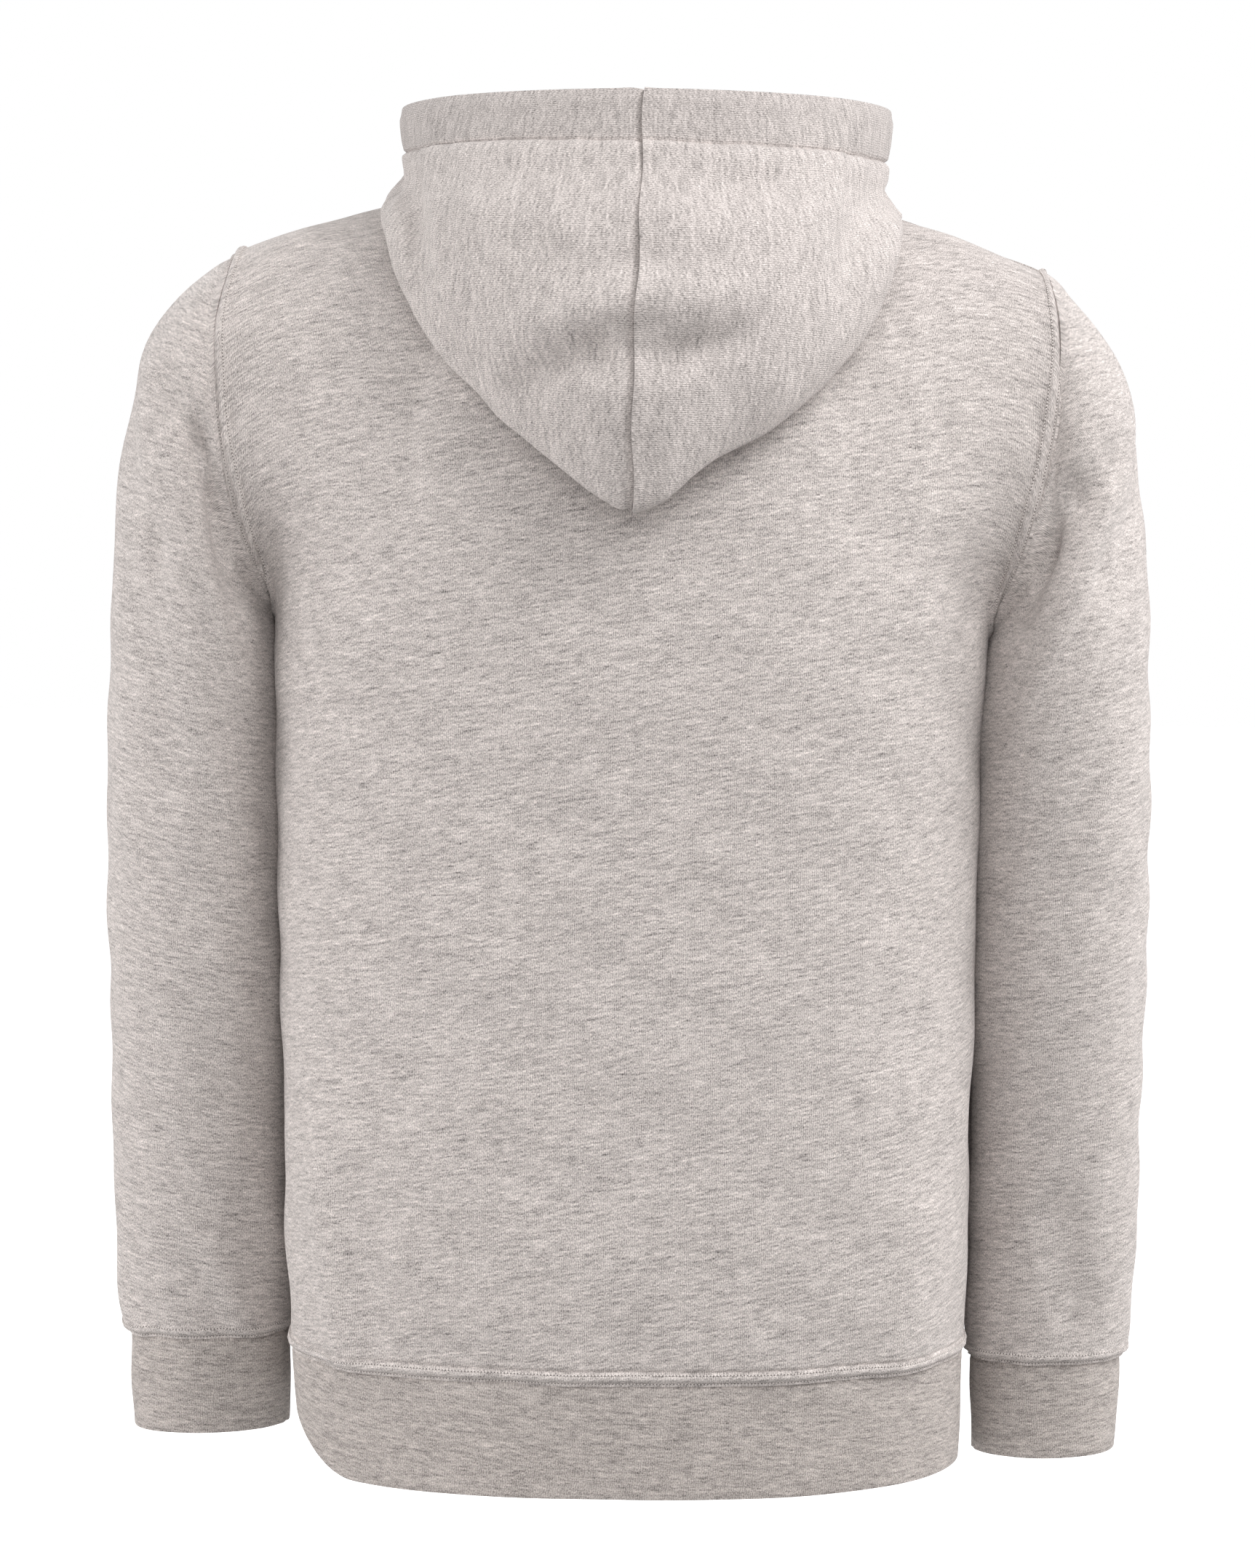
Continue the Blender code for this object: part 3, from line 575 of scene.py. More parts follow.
def panel_grid(side):
    """A body panel as rows of points from the hem seam up, and how many are below the underarm."""
    half_width, back_depth = body_section(UNDERARM_Z)[:2]
    half_girth = half_width + back_depth * SECTION_DEPTH_SHARE
    outward_shares = fine_from_ends(half_girth, False, True)
    shares = np.concatenate([outward_shares[:0:-1], outward_shares])
    signs = np.concatenate([-np.ones(len(outward_shares) - 1), np.ones(len(outward_shares))])
    grid = []
    for share in fine_from_ends(UNDERARM_Z - HEM_SEAM_Z, True, False):
        z = HEM_SEAM_Z + share * (UNDERARM_Z - HEM_SEAM_Z)
        across, outward = panel_section(z, side, shares)
        across = across * signs
        grid.append(np.stack([across, outward * side, hem_level(across, z)], axis=1))
    lower_rows = len(grid)
    chest_x, chest_y = panel_section(UNDERARM_Z, side, shares)
    top = np.array([top_edge(share, side) for share in shares])
    top_y = np.abs(top[:, 1])
    yoke_rows = int((SHOULDER_Z - UNDERARM_Z) * YOKE_ROWS_SHARE / OPEN_STEP)
    for turn in np.linspace(0.0, math.pi, yoke_rows + 1)[1:]:
        up = (1 - math.cos(turn)) / 2
        round_in = math.sqrt(1 - up * up)
        straight = (1 - up) * half_width + up * SHOULDER_X
        wrap = shares ** (ARMHOLE_WRAP + UNDERARM_WRAP * math.exp(-up / UNDERARM_REACH))
        across = (1 - up) * chest_x + up * top[:, 0] + wrap * (armhole_distance(up) - straight)
        outward = top_y + (chest_y - top_y) * round_in + wrap * armhole_depth(up)
        height = (1 - up) * UNDERARM_Z + up * top[:, 2]
        grid.append(np.stack([across * signs, outward * side, height], axis=1))
    return ease_rows(np.array(grid), lower_rows), lower_rows


def ease_rows(grid, row):
    """Evens out the bend between the two parts of a panel, around the row where they meet."""
    weight = hump(np.arange(len(grid))[1:-1] - row, EASE_REACH)[:, None, None]
    weight = weight * limited(EASE_EDGE * (1 - np.abs(np.linspace(-1, 1, grid.shape[1]))))[None, :, None]
    for _ in range(EASE_PASSES):
        even = (grid[:-2] + grid[2:]) / 2
        grid[1:-1] += weight * (even - grid[1:-1]) / 2
    return grid


def ring_turns():
    return np.linspace(0.0, 2 * math.pi, SLEEVE_AROUND, endpoint=False)


def armhole_ring():
    """The armhole seam on the left, from the shoulder over the back to the underarm and up the front."""
    up = (1 + np.cos(ring_turns())) / 2
    height = (1 - up) * UNDERARM_Z + up * SHOULDER_Z
    outward = armhole_depth(up) * np.sign(np.sin(ring_turns()))
    return np.stack([armhole_distance(up), outward, height], axis=1)


def sleeve_ring(row):
    """One ring of a left sleeve, from its outer point over the back."""
    inner_x, inner_z, outer_x, outer_z, middle_y, half_depth = row
    along, sideways = (np.sign(wave) * np.abs(wave) ** (2 / SLEEVE_POWER)
                       for wave in (np.cos(ring_turns()), np.sin(ring_turns())))
    inner = np.array([inner_x, middle_y, inner_z])
    outer = np.array([outer_x, middle_y, outer_z])
    across = along[:, None] * (outer - inner) / 2
    return (inner + outer) / 2 + across + sideways[:, None] * np.array([0.0, half_depth, 0.0])


def sleeve_grid():
    """A left sleeve as rings, from the armhole down to the cuff seam."""
    rows = np.array(SLEEVE_RINGS)
    keys = np.arange(len(rows))
    middle = np.stack([(rows[:, 0] + rows[:, 2]) / 2, rows[:, 4], (rows[:, 1] + rows[:, 3]) / 2], axis=1)
    length = line_lengths(middle)
    shares = fine_from_ends(length[-1], True, True)
    to_seam = armhole_ring() - sleeve_ring(rows[0])
    grid = []
    for at in np.interp(shares * length[-1], length, keys):
        ring = sleeve_ring(smooth(keys, rows, at))
        grid.append(ring + to_seam * max(0.0, 1 - at / ARMHOLE_FADE) ** ARMHOLE_FADE_POWER)
    return np.array(grid)


def settle_sleeve(name, grid):
    """Widens and drops a left-hand sleeve or cuff towards its lower end."""
    sleeve_hang = RIGHT_HANG if is_right(name) else LEFT_HANG
    x, y, z = np.moveaxis(grid, -1, 0)
    down = np.clip((UNDERARM_Z - z) / (UNDERARM_Z - SLEEVE_END_Z), 0.0, None)
    out = x - SLEEVE_INNER_X
    dropped = z - sleeve_hang.drop * down * down * out / SLEEVE_END_WIDTH
    return np.stack([x + sleeve_hang.wider * down * out, y, dropped], axis=-1)


def cuff_grid():
    last = sleeve_ring(SLEEVE_RINGS[-1])
    middle = last.mean(axis=0)
    grid = []
    for share in fine_from_ends(CUFF_HEIGHT, True, False):
        down = np.array([0.0, 0.0, -SEAM_GAP - share * CUFF_HEIGHT])
        grid.append(middle + down + (last - middle) * np.interp(share, (0, 1), CUFF_SCALES))
    return np.array(grid)


def hem_grid():
    half_width = body_section(HEM_SEAM_Z)[0]
    quarter = np.linspace(0.0, 1.0, HEM_QUARTER_STEPS, endpoint=False)
    ring = []
    for side, sign in ((1, 1), (1, -1), (-1, -1), (-1, 1)):
        across, outward = panel_section(HEM_SEAM_Z, side, 1 - quarter if side == sign else quarter)
        ring.append(np.stack([across * sign, outward * side], axis=1))
    grid = []
    for share in fine_from_ends(HEM_HEIGHT, True, False):
        flat = np.concatenate(ring) * np.interp(share, (0, 1), HEM_SCALES)
        lifted = limited((flat[:, 0] - HEM_LIFT_START) / (half_width - HEM_LIFT_START))
        drop = SEAM_GAP + share * (HEM_HEIGHT - HEM_LIFT * lifted ** 2)
        height = hem_level(flat[:, 0], HEM_SEAM_Z) - drop
        grid.append(np.concatenate([flat, height[:, None]], axis=1))
    return np.array(grid)


def hood_azimuths():
    """Stations from the centre seam round to the front, closer together beside the seam."""
    return 90.0 - 180.0 * fine_from_ends(HOOD_SEAM_TO_FRONT, True, False)


def hood_row(azimuth, right):
    """Radius and height of a hood profile's points, read between the table's rows."""
    rows = np.array([[profile.azimuth, *np.ravel(profile[1:])] for profile in HOOD_PROFILES])[::-1]
    before, after = rows[1].copy(), rows[-2].copy()
    before[0] = -180 - before[0]
    after[0] = 180 - after[0]
    rows = np.vstack([before, rows, after])
    row = smooth(rows[:, 0], rows[:, 1:], azimuth).reshape(-1, 2)
    if right:
        drop = np.interp(azimuth, *zip(*RIGHT_HOOD_DROOP))
        row[1, 1] -= drop
        row[2, 1] -= drop * HOOD_LOW_DROOP_SHARE
    return row


def hood_profile(azimuth, body, right):
    """A hood profile from the neck seam to the opening edge, which slips sideways past the seam."""
    turn = math.radians(azimuth)
    points = [neck_point(azimuth) + np.array([0.0, 0.0, NECK_SEAM_LIFT])]
    for radius, height in hood_row(azimuth, right):
        points.append(np.array([math.cos(turn) * radius, math.sin(turn) * radius, height]))
    points = np.array(points)
    keys = line_lengths(points)
    run = np.linspace(0.0, keys[-1], FINE_STEPS)
    fine = smooth(keys, points, run)
    slip = (HOOD_SLIP if right else -HOOD_SLIP) * max(0.0, math.sin(turn))
    fine[:, 0] += slip * limited(run / HOOD_SLIP_REACH)
    room = HOOD_TO_BODY * limited(run / HOOD_REST_REACH)
    fine[1:] = [clear_of(body, point, gap) for point, gap in zip(fine[1:], room[1:])]
    hem_share = 1 - hood_hem_width(azimuth) / line_lengths(fine)[-1]
    marks = (0.0, hem_share - HOOD_CLOSE_SHARE, hem_share + HOOD_CLOSE_SHARE, 1.0)
    shares = [np.linspace(marks[part], marks[part + 1], count, endpoint=part == 2)
              for part, count in enumerate(HOOD_POINTS)]
    return along_length(fine, np.concatenate(shares))


def hood_hem_width(azimuth):
    return HOOD_HEM_WIDTH + HOOD_HEM_SPREAD * np.clip(np.sin(np.radians(azimuth)), 0.0, None)


def clear_of(body, point, gap):
    """Moves a point of the hood out from the chest's middle until it clears the body panels by a gap."""
    centre = Vector((0.0, 0.0, UNDERARM_Z / 2))
    away = Vector(point) - centre
    hit = body.ray_cast(centre, away.normalized())
    if hit[0] is None or hit[3] + gap <= away.length:
        return np.array(point)
    return np.array(centre + away.normalized() * (hit[3] + gap))


def hang(points):
    """Places points as the garment hangs, a little off square."""
    x, y, z = np.moveaxis(points, -1, 0)
    return np.stack([x - SIDE_LEAN * np.abs(z - LEAN_FREE_Z), y, z + SIDE_DROP * x], axis=-1)


def level_hood(grid):
    """Turns the upper part of the hood back to level."""
    x, y, z = np.moveaxis(grid, -1, 0)
    high = limited((z - HOOD_LEVEL_LOW_Z) / (HOOD_LEVEL_HIGH_Z - HOOD_LEVEL_LOW_Z))
    return np.stack([x, y, z - HOOD_LEVEL * x * eased(high)], axis=-1)


def is_right(name):
    return name.endswith("_right")


def on_its_side(name, grid):
    """A left-hand grid, mirrored where the named piece is a right-hand one."""
    return grid * np.array([-1.0, 1.0, 1.0]) if is_right(name) else grid


# ---------------------------------------------------------------------------
# Grids of points


def grid_corners(grid, closed, flip):
    """Row and column of each face's corners; beyond a closed grid's last column is its first again."""
    rows, columns = grid.shape[:2]
    row, column = np.mgrid[:rows - 1, :columns if closed else columns - 1].reshape(2, -1)
    corners = np.array([[row, column], [row, column + 1], [row + 1, column + 1], [row + 1, column]])
    corners = corners.transpose(2, 0, 1)
    return corners[:, ::-1] if flip else corners


def grid_faces(grid, corners):
    columns = grid.shape[1]
    return (corners[:, :, 0] * columns + corners[:, :, 1] % columns).tolist()


def grid_normals(grid, closed):
    """Unit normals of a grid's points."""
    if closed:
        around = np.roll(grid, -1, axis=1) - np.roll(grid, 1, axis=1)
    else:
        around = np.gradient(grid, axis=1)
    normals = np.cross(around, np.gradient(grid, axis=0))
    return normals / np.linalg.norm(normals, axis=2, keepdims=True)


def lengths_down(grid):
    """Each point's distance along its column from the first row."""
    steps = np.linalg.norm(np.diff(grid, axis=0), axis=2)
    return np.concatenate([np.zeros((1, grid.shape[1])), np.cumsum(steps, axis=0)], axis=0)


def lengths_across(grid, start=0):
    """Each point's distance along its row from the start column, negative before it."""
    length = lengths_down(grid.transpose(1, 0, 2)).T
    return length - length[:, start][:, None]


def ring_lengths(grid):
    """A closed grid's cloth coordinates, then each point's way round and down, and its ring's girth.

    The coordinates have one more column than the grid.
    """
    wrapped = np.concatenate([grid, grid[:, :1]], axis=1)
    cloth = np.stack([lengths_across(wrapped), lengths_down(wrapped)], axis=2)
    return cloth, cloth[:, :-1, 0], cloth[:, :-1, 1], cloth[:, -1:, 0]


def pull_edge(grid, outer, amount):
    """Draws a grid's first or last row, at index 0 or -1, back from its seam."""
    toward = grid[1 if outer == 0 else -2] - grid[outer]
    grid[outer] += toward / np.linalg.norm(toward, axis=1, keepdims=True) * amount


def line_beside(grid, distance, from_last, closed):
    """The line on a grid at a set distance from its first or last row."""
    down = lengths_down(grid)
    if from_last:
        down = down[-1:] - down
    line = []
    for column in range(grid.shape[1]):
        order = np.argsort(down[:, column])
        points = grid[order, column]
        line.append([np.interp(distance, down[order, column], places) for places in points.T])
    return np.array(line + line[:1] if closed else line)


def joined(parts):
    """Points and faces of several parts as one."""
    points = []
    faces = []
    for part_points, part_faces in parts:
        start = len(points)
        points += [tuple(point) for point in part_points]
        faces += [tuple(start + corner for corner in face) for face in part_faces]
    return points, faces


# ---------------------------------------------------------------------------
# Relief: folds, swells and seams, in metres outwards from the smooth form


def fold_relief(folds, across, height):
    """Folds of one piece, given each point's place across it and its height."""
    relief = np.zeros(across.shape)
    place = np.stack([across, height], axis=-1)
    for fold in folds:
        start = np.array([fold.from_across, fold.from_z])
        run = np.array([fold.to_across, fold.to_z]) - start
        from_start = place - start
        share = limited((from_start @ run) / (run @ run))
        distance = np.linalg.norm(from_start - share[..., None] * run, axis=-1)
        relief -= fold.depth * hump(distance, fold.half_width)
    return relief


def swell_relief(name, u, v):
    """A slow uneven swell of the named piece's cloth."""
    piece = PIECES[name]
    chance = np.random.default_rng(piece.seed)
    relief = np.zeros(u.shape)
    for length in piece.swell_lengths:
        for _ in range(3):
            turn = chance.uniform(0, math.pi)
            phase = chance.uniform(0, 2 * math.pi)
            wave = (u * math.cos(turn) + v * math.sin(turn)) * 2 * math.pi / length
            relief += np.sin(wave + phase) * piece.swell / 3
    return relief


def side_swell(from_side, height):
    """Fills out the body's side and the sleeve's inner side, where they lie against each other."""
    begins = limited((SIDE_SWELL_TOP_Z - height) / SIDE_SWELL_RISE)
    ends = limited((height - SIDE_SWELL_END_Z) / SIDE_SWELL_FADE)
    return SIDE_SWELL * hump(from_side, SIDE_SWELL_REACH) * begins * ends


def facing_back(outward):
    """How squarely the cloth faces the back, from 0 to 1."""
    return limited(outward[:, :, 1] * BACK_SHARPNESS)


def underarm_fold(height):
    """The share at each height of the fold where the body's edge lies over the sleeve."""
    return hump(height - UNDERARM_FOLD_Z, UNDERARM_FOLD_REACH)


def pucker_relief(along, from_seam, seed, reach):
    """Small gathers that run square to a seam and fade away from it."""
    chance = np.random.default_rng(seed)
    ripple = np.zeros(along.shape)
    for length in PUCKER_LENGTHS:
        ripple += np.sin(along * 2 * math.pi / length + chance.uniform(0, 2 * math.pi)) / 4
    return PUCKER * ripple * hump(from_seam, reach)


def ridge_relief(ridges, distance):
    """Ridges and dips that run along a seam or an edge."""
    return sum(ridge.height * hump(distance - ridge.place, ridge.half_width) for ridge in ridges)


def underarm_seam_relief(kind, across, girth):
    """The shallow groove of the seam, pressed flat, that closes a sleeve or cuff."""
    return ridge_relief(PLAIN_SEAMS[kind], np.abs(across - girth * UNDERARM_SEAM_TURN / 360))


def dent_relief(x, z):
    """The dips and swells of the hood's outer layer at places seen from the back."""
    relief = np.zeros(x.shape)
    for dent in HOOD_DENTS:
        turn = math.radians(dent.turn)
        along = (x - dent.x) * math.cos(turn) + (z - dent.z) * math.sin(turn)
        across = -(x - dent.x) * math.sin(turn) + (z - dent.z) * math.cos(turn)
        relief -= dent.depth * np.exp(-(along / dent.half_x) ** 2 - (across / dent.half_z) ** 2)
    return relief


def distance_to_line(points, line):
    """Each point's distance to a line of close points, and how far along the line its foot is."""
    flat = points.reshape(-1, 3)
    places = line_lengths(line)
    found = np.empty((2, len(flat)))
    for start in range(0, len(flat), CHUNK):
        apart = np.linalg.norm(flat[start:start + CHUNK, None] - line[None], axis=2)
        found[:, start:start + CHUNK] = apart.min(axis=1), places[apart.argmin(axis=1)]
    return found.reshape(2, *points.shape[:-1])


def dressed_panel(name, side):
    """A panel's grid with its relief, its cloth coordinates and its lower row count."""
    grid, lower_rows = panel_grid(side)
    height = grid[:, :, 2]
    piece = PIECES[name]
    outward = grid_normals(grid, False) * -side
    across = lengths_across(grid, grid.shape[1] // 2)
    up = lengths_down(grid)
    relief = fold_relief(FOLDS[name], across, height) + swell_relief(name, across, up)
    relief += ridge_relief(TWIN_NEEDLE_RIDGES, up)
    relief += pucker_relief(across, up, piece.seed + 10, piece.gathers)
    for column, seed in zip((0, -1), ARMHOLE_SEEDS):
        from_armhole, along = distance_to_line(grid, dense_line(grid[lower_rows + 1:, column]))
        relief += ridge_relief(TWIN_NEEDLE_RIDGES, from_armhole)
        relief += pucker_relief(along, from_armhole, seed, PUCKER_REACH)
        relief += underarm_fold(height) * ridge_relief(UNDERARM_RIDGES, from_armhole)
    side_seam = np.minimum(across - across[:, :1], across[:, -1:] - across)
    below = limited((lower_rows - np.arange(len(grid))) / SIDE_SEAM_FADE_ROWS)[:, None]
    relief += ridge_relief(PLAIN_SEAMS["panel"], side_seam) * below + side_swell(side_seam, height)
    grid = grid + outward * relief[:, :, None]
    for column in (0, -1):
        pull_edge(grid.transpose(1, 0, 2), column, SIDE_SEAM_GAP)
    pull_edge(grid, -1, SHOULDER_SEAM_PULL)
    return grid, np.stack([across, up], axis=2), lower_rows


def dressed_sleeve(name):
    """A left-hand sleeve grid with the named sleeve's relief, and its cloth coordinates."""
    grid = sleeve_grid()
    height = grid[:, :, 2]
    piece = PIECES[name]
    cloth, across, down, girth = ring_lengths(grid)
    from_outer = np.where(across > girth / 2, across - girth, across)
    from_cuff = down[-1:] - down
    outward = -grid_normals(grid, True)
    hung_x, _, hung_z = np.moveaxis(hang(on_its_side(name, grid)), -1, 0)
    relief = fold_relief(FOLDS[name], from_outer, height)
    relief += fold_relief(SHOULDER_FOLDS[name], hung_x, hung_z) * facing_back(outward)
    relief *= 1 - hump(down, SLEEVE_FOLD_REACH)
    relief += swell_relief(name, from_outer, down)
    relief += ridge_relief(TWIN_NEEDLE_RIDGES, from_cuff)
    relief += pucker_relief(across, from_cuff, piece.seed + 10, piece.gathers)
    below_cap = limited((SLEEVE_SINK_Z - height) / SLEEVE_SINK_FADE)
    relief -= SLEEVE_SINK * hump(down, SLEEVE_SINK_REACH) * below_cap
    beside_seam = (1 - hump(down, UNDERARM_DIP_START)) * hump(down, UNDERARM_DIP_REACH)
    off_side = limited((np.abs(outward[:, :, 1]) - UNDERARM_DIP_FACING) * UNDERARM_DIP_SHARPNESS)
    relief -= UNDERARM_DIP * underarm_fold(height) * beside_seam * off_side
    relief += side_swell(np.abs(across - girth / 2), height)
    relief += pucker_relief(across, down, piece.seed + 20, PUCKER_REACH)
    relief += underarm_seam_relief("sleeve", across, girth)
    grid = grid + outward * relief[:, :, None]
    pull_edge(grid, 0, -SLEEVE_TUCK)
    cloth[:, :, 0] -= girth / 2
    cloth[:, :, 1] = cloth[-1:, :, 1] - cloth[:, :, 1]
    return settle_sleeve(name, grid), cloth


def tucked_rib(name, grid, cloth, relief):
    """A rib piece with its relief and gathers, its first row tucked into the seam above it."""
    across, down = np.moveaxis(cloth[:, :-1], -1, 0)
    relief = relief + pucker_relief(across, down, PIECES[name].seed + 1, PIECES[name].gathers)
    relief -= SEAM_TUCK * hump(down, TUCK_REACH)
    grid = grid - grid_normals(grid, True) * relief[:, :, None]
    pull_edge(grid, 0, -SEAM_TUCK)
    cloth[:, :, 1] *= -1
    return grid, cloth


def dressed_cuff(name):
    grid = cuff_grid()
    cloth, across, down, girth = ring_lengths(grid)
    relief = swell_relief(name, across * 2 * math.pi / girth * CUFF_RADIUS, down)
    relief += underarm_seam_relief("cuff", across, girth)
    grid, cloth = tucked_rib(name, grid, cloth, relief)
    return settle_sleeve(name, grid), cloth


def dressed_hem(name):
    grid = hem_grid()
    cloth, across, down, _ = ring_lengths(grid)
    relief = swell_relief(name, across, down) * (1 - limited(1 - down / HEM_HEIGHT))
    relief += fold_relief(FOLDS[name], grid[:, :, 0], grid[:, :, 2]) * (grid[:, :, 1] > 0)
    return tucked_rib(name, grid, cloth, relief)


def dressed_hood(name, body):
    """A left-hand hood half with the named half's relief, and its cloth coordinates."""
    azimuths = hood_azimuths()
    grid = np.array([hood_profile(azimuth, body, is_right(name)) for azimuth in azimuths])
    sign = -1 if is_right(name) else 1
    outward = grid_normals(grid, False)
    along = lengths_across(grid)
    from_edge = along[:, -1:] - along
    from_seam = lengths_down(grid)
    hem = from_edge - hood_hem_width(azimuths)[:, None]
    down_edge = np.broadcast_to(line_lengths(grid[:, -1])[:, None], along.shape)
    outer = facing_back(outward) * (from_edge < HOOD_OUTER_REACH)
    relief = dent_relief(grid[:, :, 0] * sign, grid[:, :, 2]) * outer
    relief += swell_relief(name, from_seam, along) * limited(from_edge / HOOD_SWELL_START)
    relief += ridge_relief(HOOD_HEM_RIDGES, hem) + ridge_relief(HOOD_EDGE_RIDGES, from_edge)
    relief += ridge_relief(HOOD_SEAM_RIDGES[name], from_seam)
    tilt = np.clip(HOOD_HEM_PIVOT - from_edge / HOOD_HEM_WIDTH, HOOD_HEM_PIVOT - 1, HOOD_HEM_PIVOT)
    relief += HOOD_HEM_TILT * tilt * (hem < 0)
    relief += pucker_relief(down_edge, np.abs(hem), PIECES[name].seed + 5, PIECES[name].gathers)
    grid = grid + outward * relief[:, :, None]
    waves = sum(wave.height * np.sin(from_edge / wave.length + wave.phase) for wave in HOOD_SEAM_WAVES)
    grid[:, :, 0] += sign * waves * hump(from_seam, HOOD_SEAM_WAVE_REACH)
    grid[[0, -1], :, 0] += HOOD_SEAM_SHIFT[name]
    return grid, np.stack([down_edge, -from_edge], axis=2)


# ---------------------------------------------------------------------------
# Making the pieces


def add_mesh(scene, name, points, faces, materials, slot):
    """A smooth mesh object that rides with the garment."""
    mesh = bpy.data.meshes.new(name)
    mesh.from_pydata(points, [], faces)
    mesh.shade_smooth()
    for material in materials:
        mesh.materials.append(material)
    piece = bpy.data.objects.new(name, mesh)
    scene.collection.objects.link(piece)
    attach(piece, "root")
    return piece


def add_cloth(scene, name, grid, cloth, closed, flip):
    """A thickened sheet of cloth that stands for its node, with its cloth coordinates in metres."""
    cut = PIECES[name]
    corners = grid_corners(grid, closed, flip)
    points = hang(grid).reshape(-1, 3).tolist()
    materials = [cloth_material(scene, KNITS[cut.slot])]
    piece = add_mesh(scene, name + "_cloth", points, grid_faces(grid, corners), materials, cut.slot)
    layer = piece.data.uv_layers.new(name=CLOTH_MAP)
    layer.data.foreach_set("uv", cloth[corners[:, :, 0], corners[:, :, 1]].astype(np.float32).ravel())
    wall = piece.modifiers.new("wall", "SOLIDIFY")
    wall.thickness = RIB_THICKNESS if cut.slot == "rib" else FLEECE_THICKNESS
    wall.offset = -1.0
    wall.use_quality_normals = True
    edge = piece.modifiers.new("rounded_edge", "BEVEL")
    edge.width = wall.thickness * EDGE_ROUND
    edge.segments = 2
    edge.limit_method = "ANGLE"
    edge.angle_limit = EDGE_ANGLE
    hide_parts(name)
    return piece


def thicken_hem(piece, grid):
    """Makes the turned-in hem at the hood's opening two layers thick."""
    along = lengths_across(grid)
    from_edge = along[:, -1:] - along
    hem = hood_hem_width(hood_azimuths())[:, None]
    share = limited((hem + HOOD_HEM_STEP - from_edge) / (2 * HOOD_HEM_STEP)).reshape(-1)
    group = piece.vertex_groups.new(name="turned_in_hem")
    for index in np.nonzero(share > 0)[0]:
        group.add([int(index)], float(share[index]), "REPLACE")
    wall = piece.modifiers["wall"]
    wall.thickness = HOOD_HEM_THICKNESS
    wall.vertex_group = group.name
    wall.thickness_vertex_group = FLEECE_THICKNESS / HOOD_HEM_THICKNESS
    edge = piece.modifiers["rounded_edge"]
    edge.width = HOOD_HEM_THICKNESS * HEM_EDGE_ROUND
    edge.segments = 3


# ---------------------------------------------------------------------------
# Stitching


def stitch_shape():
    """Points and faces of one lying stitch of unit size, along X with its back up Z."""
    points = [(-0.5, 0.0, 0.0)]
    for ring in STITCH_RINGS:
        for side in range(STITCH_SIDES):
            turn = 2 * math.pi * side / STITCH_SIDES
            points.append((ring.place, math.cos(turn) * ring.share, math.sin(turn) * ring.share))
    points.append((0.5, 0.0, 0.0))
    last = 1 + (len(STITCH_RINGS) - 1) * STITCH_SIDES
    faces = []
    for side in range(STITCH_SIDES):
        beside = (side + 1) % STITCH_SIDES
        faces.append((0, 1 + beside, 1 + side))
        for low in range(1, last, STITCH_SIDES):
            high = low + STITCH_SIDES
            faces.append((low + side, low + beside, high + beside, high + side))
        faces.append((last + side, last + beside, len(points) - 1))
    return np.array(points), faces


def stitch_row(line, outward, hole_share, sizes):
    """Points and faces of stitches laid end to end along a line, then of the dark discs between them,
    painted shade that stands for the needle holes.
    """
    length = line_lengths(line)
    count = int(length[-1] / sizes.stitch_length)
    ends = np.arange(count + 1) * length[-1] / count
    places = np.stack([np.interp(ends, length, column) for column in line.T], axis=1)
    up = np.stack([np.interp((ends[:-1] + ends[1:]) / 2, length, column) for column in outward.T], axis=1)
    shape, faces = stitch_shape()
    run = places[1:] - places[:-1]
    reach = np.linalg.norm(run, axis=1, keepdims=True)
    run = run / reach
    side = np.cross(up, run)
    side /= np.linalg.norm(side, axis=1, keepdims=True)
    up = np.cross(run, side)

    def laid(middle, long, wide, high, lift):
        flat = run[:, None] * shape[None, :, :1] * long + side[:, None] * shape[None, :, 1:2] * wide
        return list(middle[:, None] + flat + up[:, None] * (shape[None, :, 2:] * high + lift))

    radius = sizes.thread_radius
    hole = sizes.hole_radius * hole_share
    thread_middle = (places[:-1] + places[1:]) / 2
    thread_length = (reach * sizes.stitch_cover)[:, None]
    copies = laid(thread_middle, thread_length, radius, radius, radius * sizes.thread_lift)
    # The needle holes: flat dark discs whose colour is painted shade for the shadow in each hole
    copies += laid(places[:-1], hole * 2, hole, hole * HOLE_DEPTH, 0.0)
    return joined((copy, faces) for copy in copies)


def add_stitching(scene, name, piece, hung, closed, facing, seams):
    """Twin rows of stitches beside a piece's seams, as one mesh that its cloth carries.

    A seam is given as a grid, whether its last row lies on the seam, and the size of its needle holes, dark
    discs of painted shade.
    """
    outward = (grid_normals(hung, closed) * facing).reshape(-1, 3)
    rows = []
    for grid, from_last, hole_share in seams:
        for distance in SEAM_ROWS:
            line = line_beside(grid, distance, from_last, closed)
            nearest = [np.linalg.norm(hung.reshape(-1, 3) - point, axis=1).argmin() for point in line]
            rows.append(stitch_row(line, outward[nearest], hole_share, scene.hoodie_sizes))
    materials = [thread_material(scene, name_and_colour) for name_and_colour in THREADS]
    stitching = add_mesh(scene, name + "_stitching", *joined(rows), materials, PIECES[name].slot)
    halves = [len(faces) // 2 for _, faces in rows]
    shades = [index for half in halves for index in [0] * half + [1] * half]
    stitching.data.polygons.foreach_set("material_index", shades)
    stitching.parent = piece


# ---------------------------------------------------------------------------
# Materials


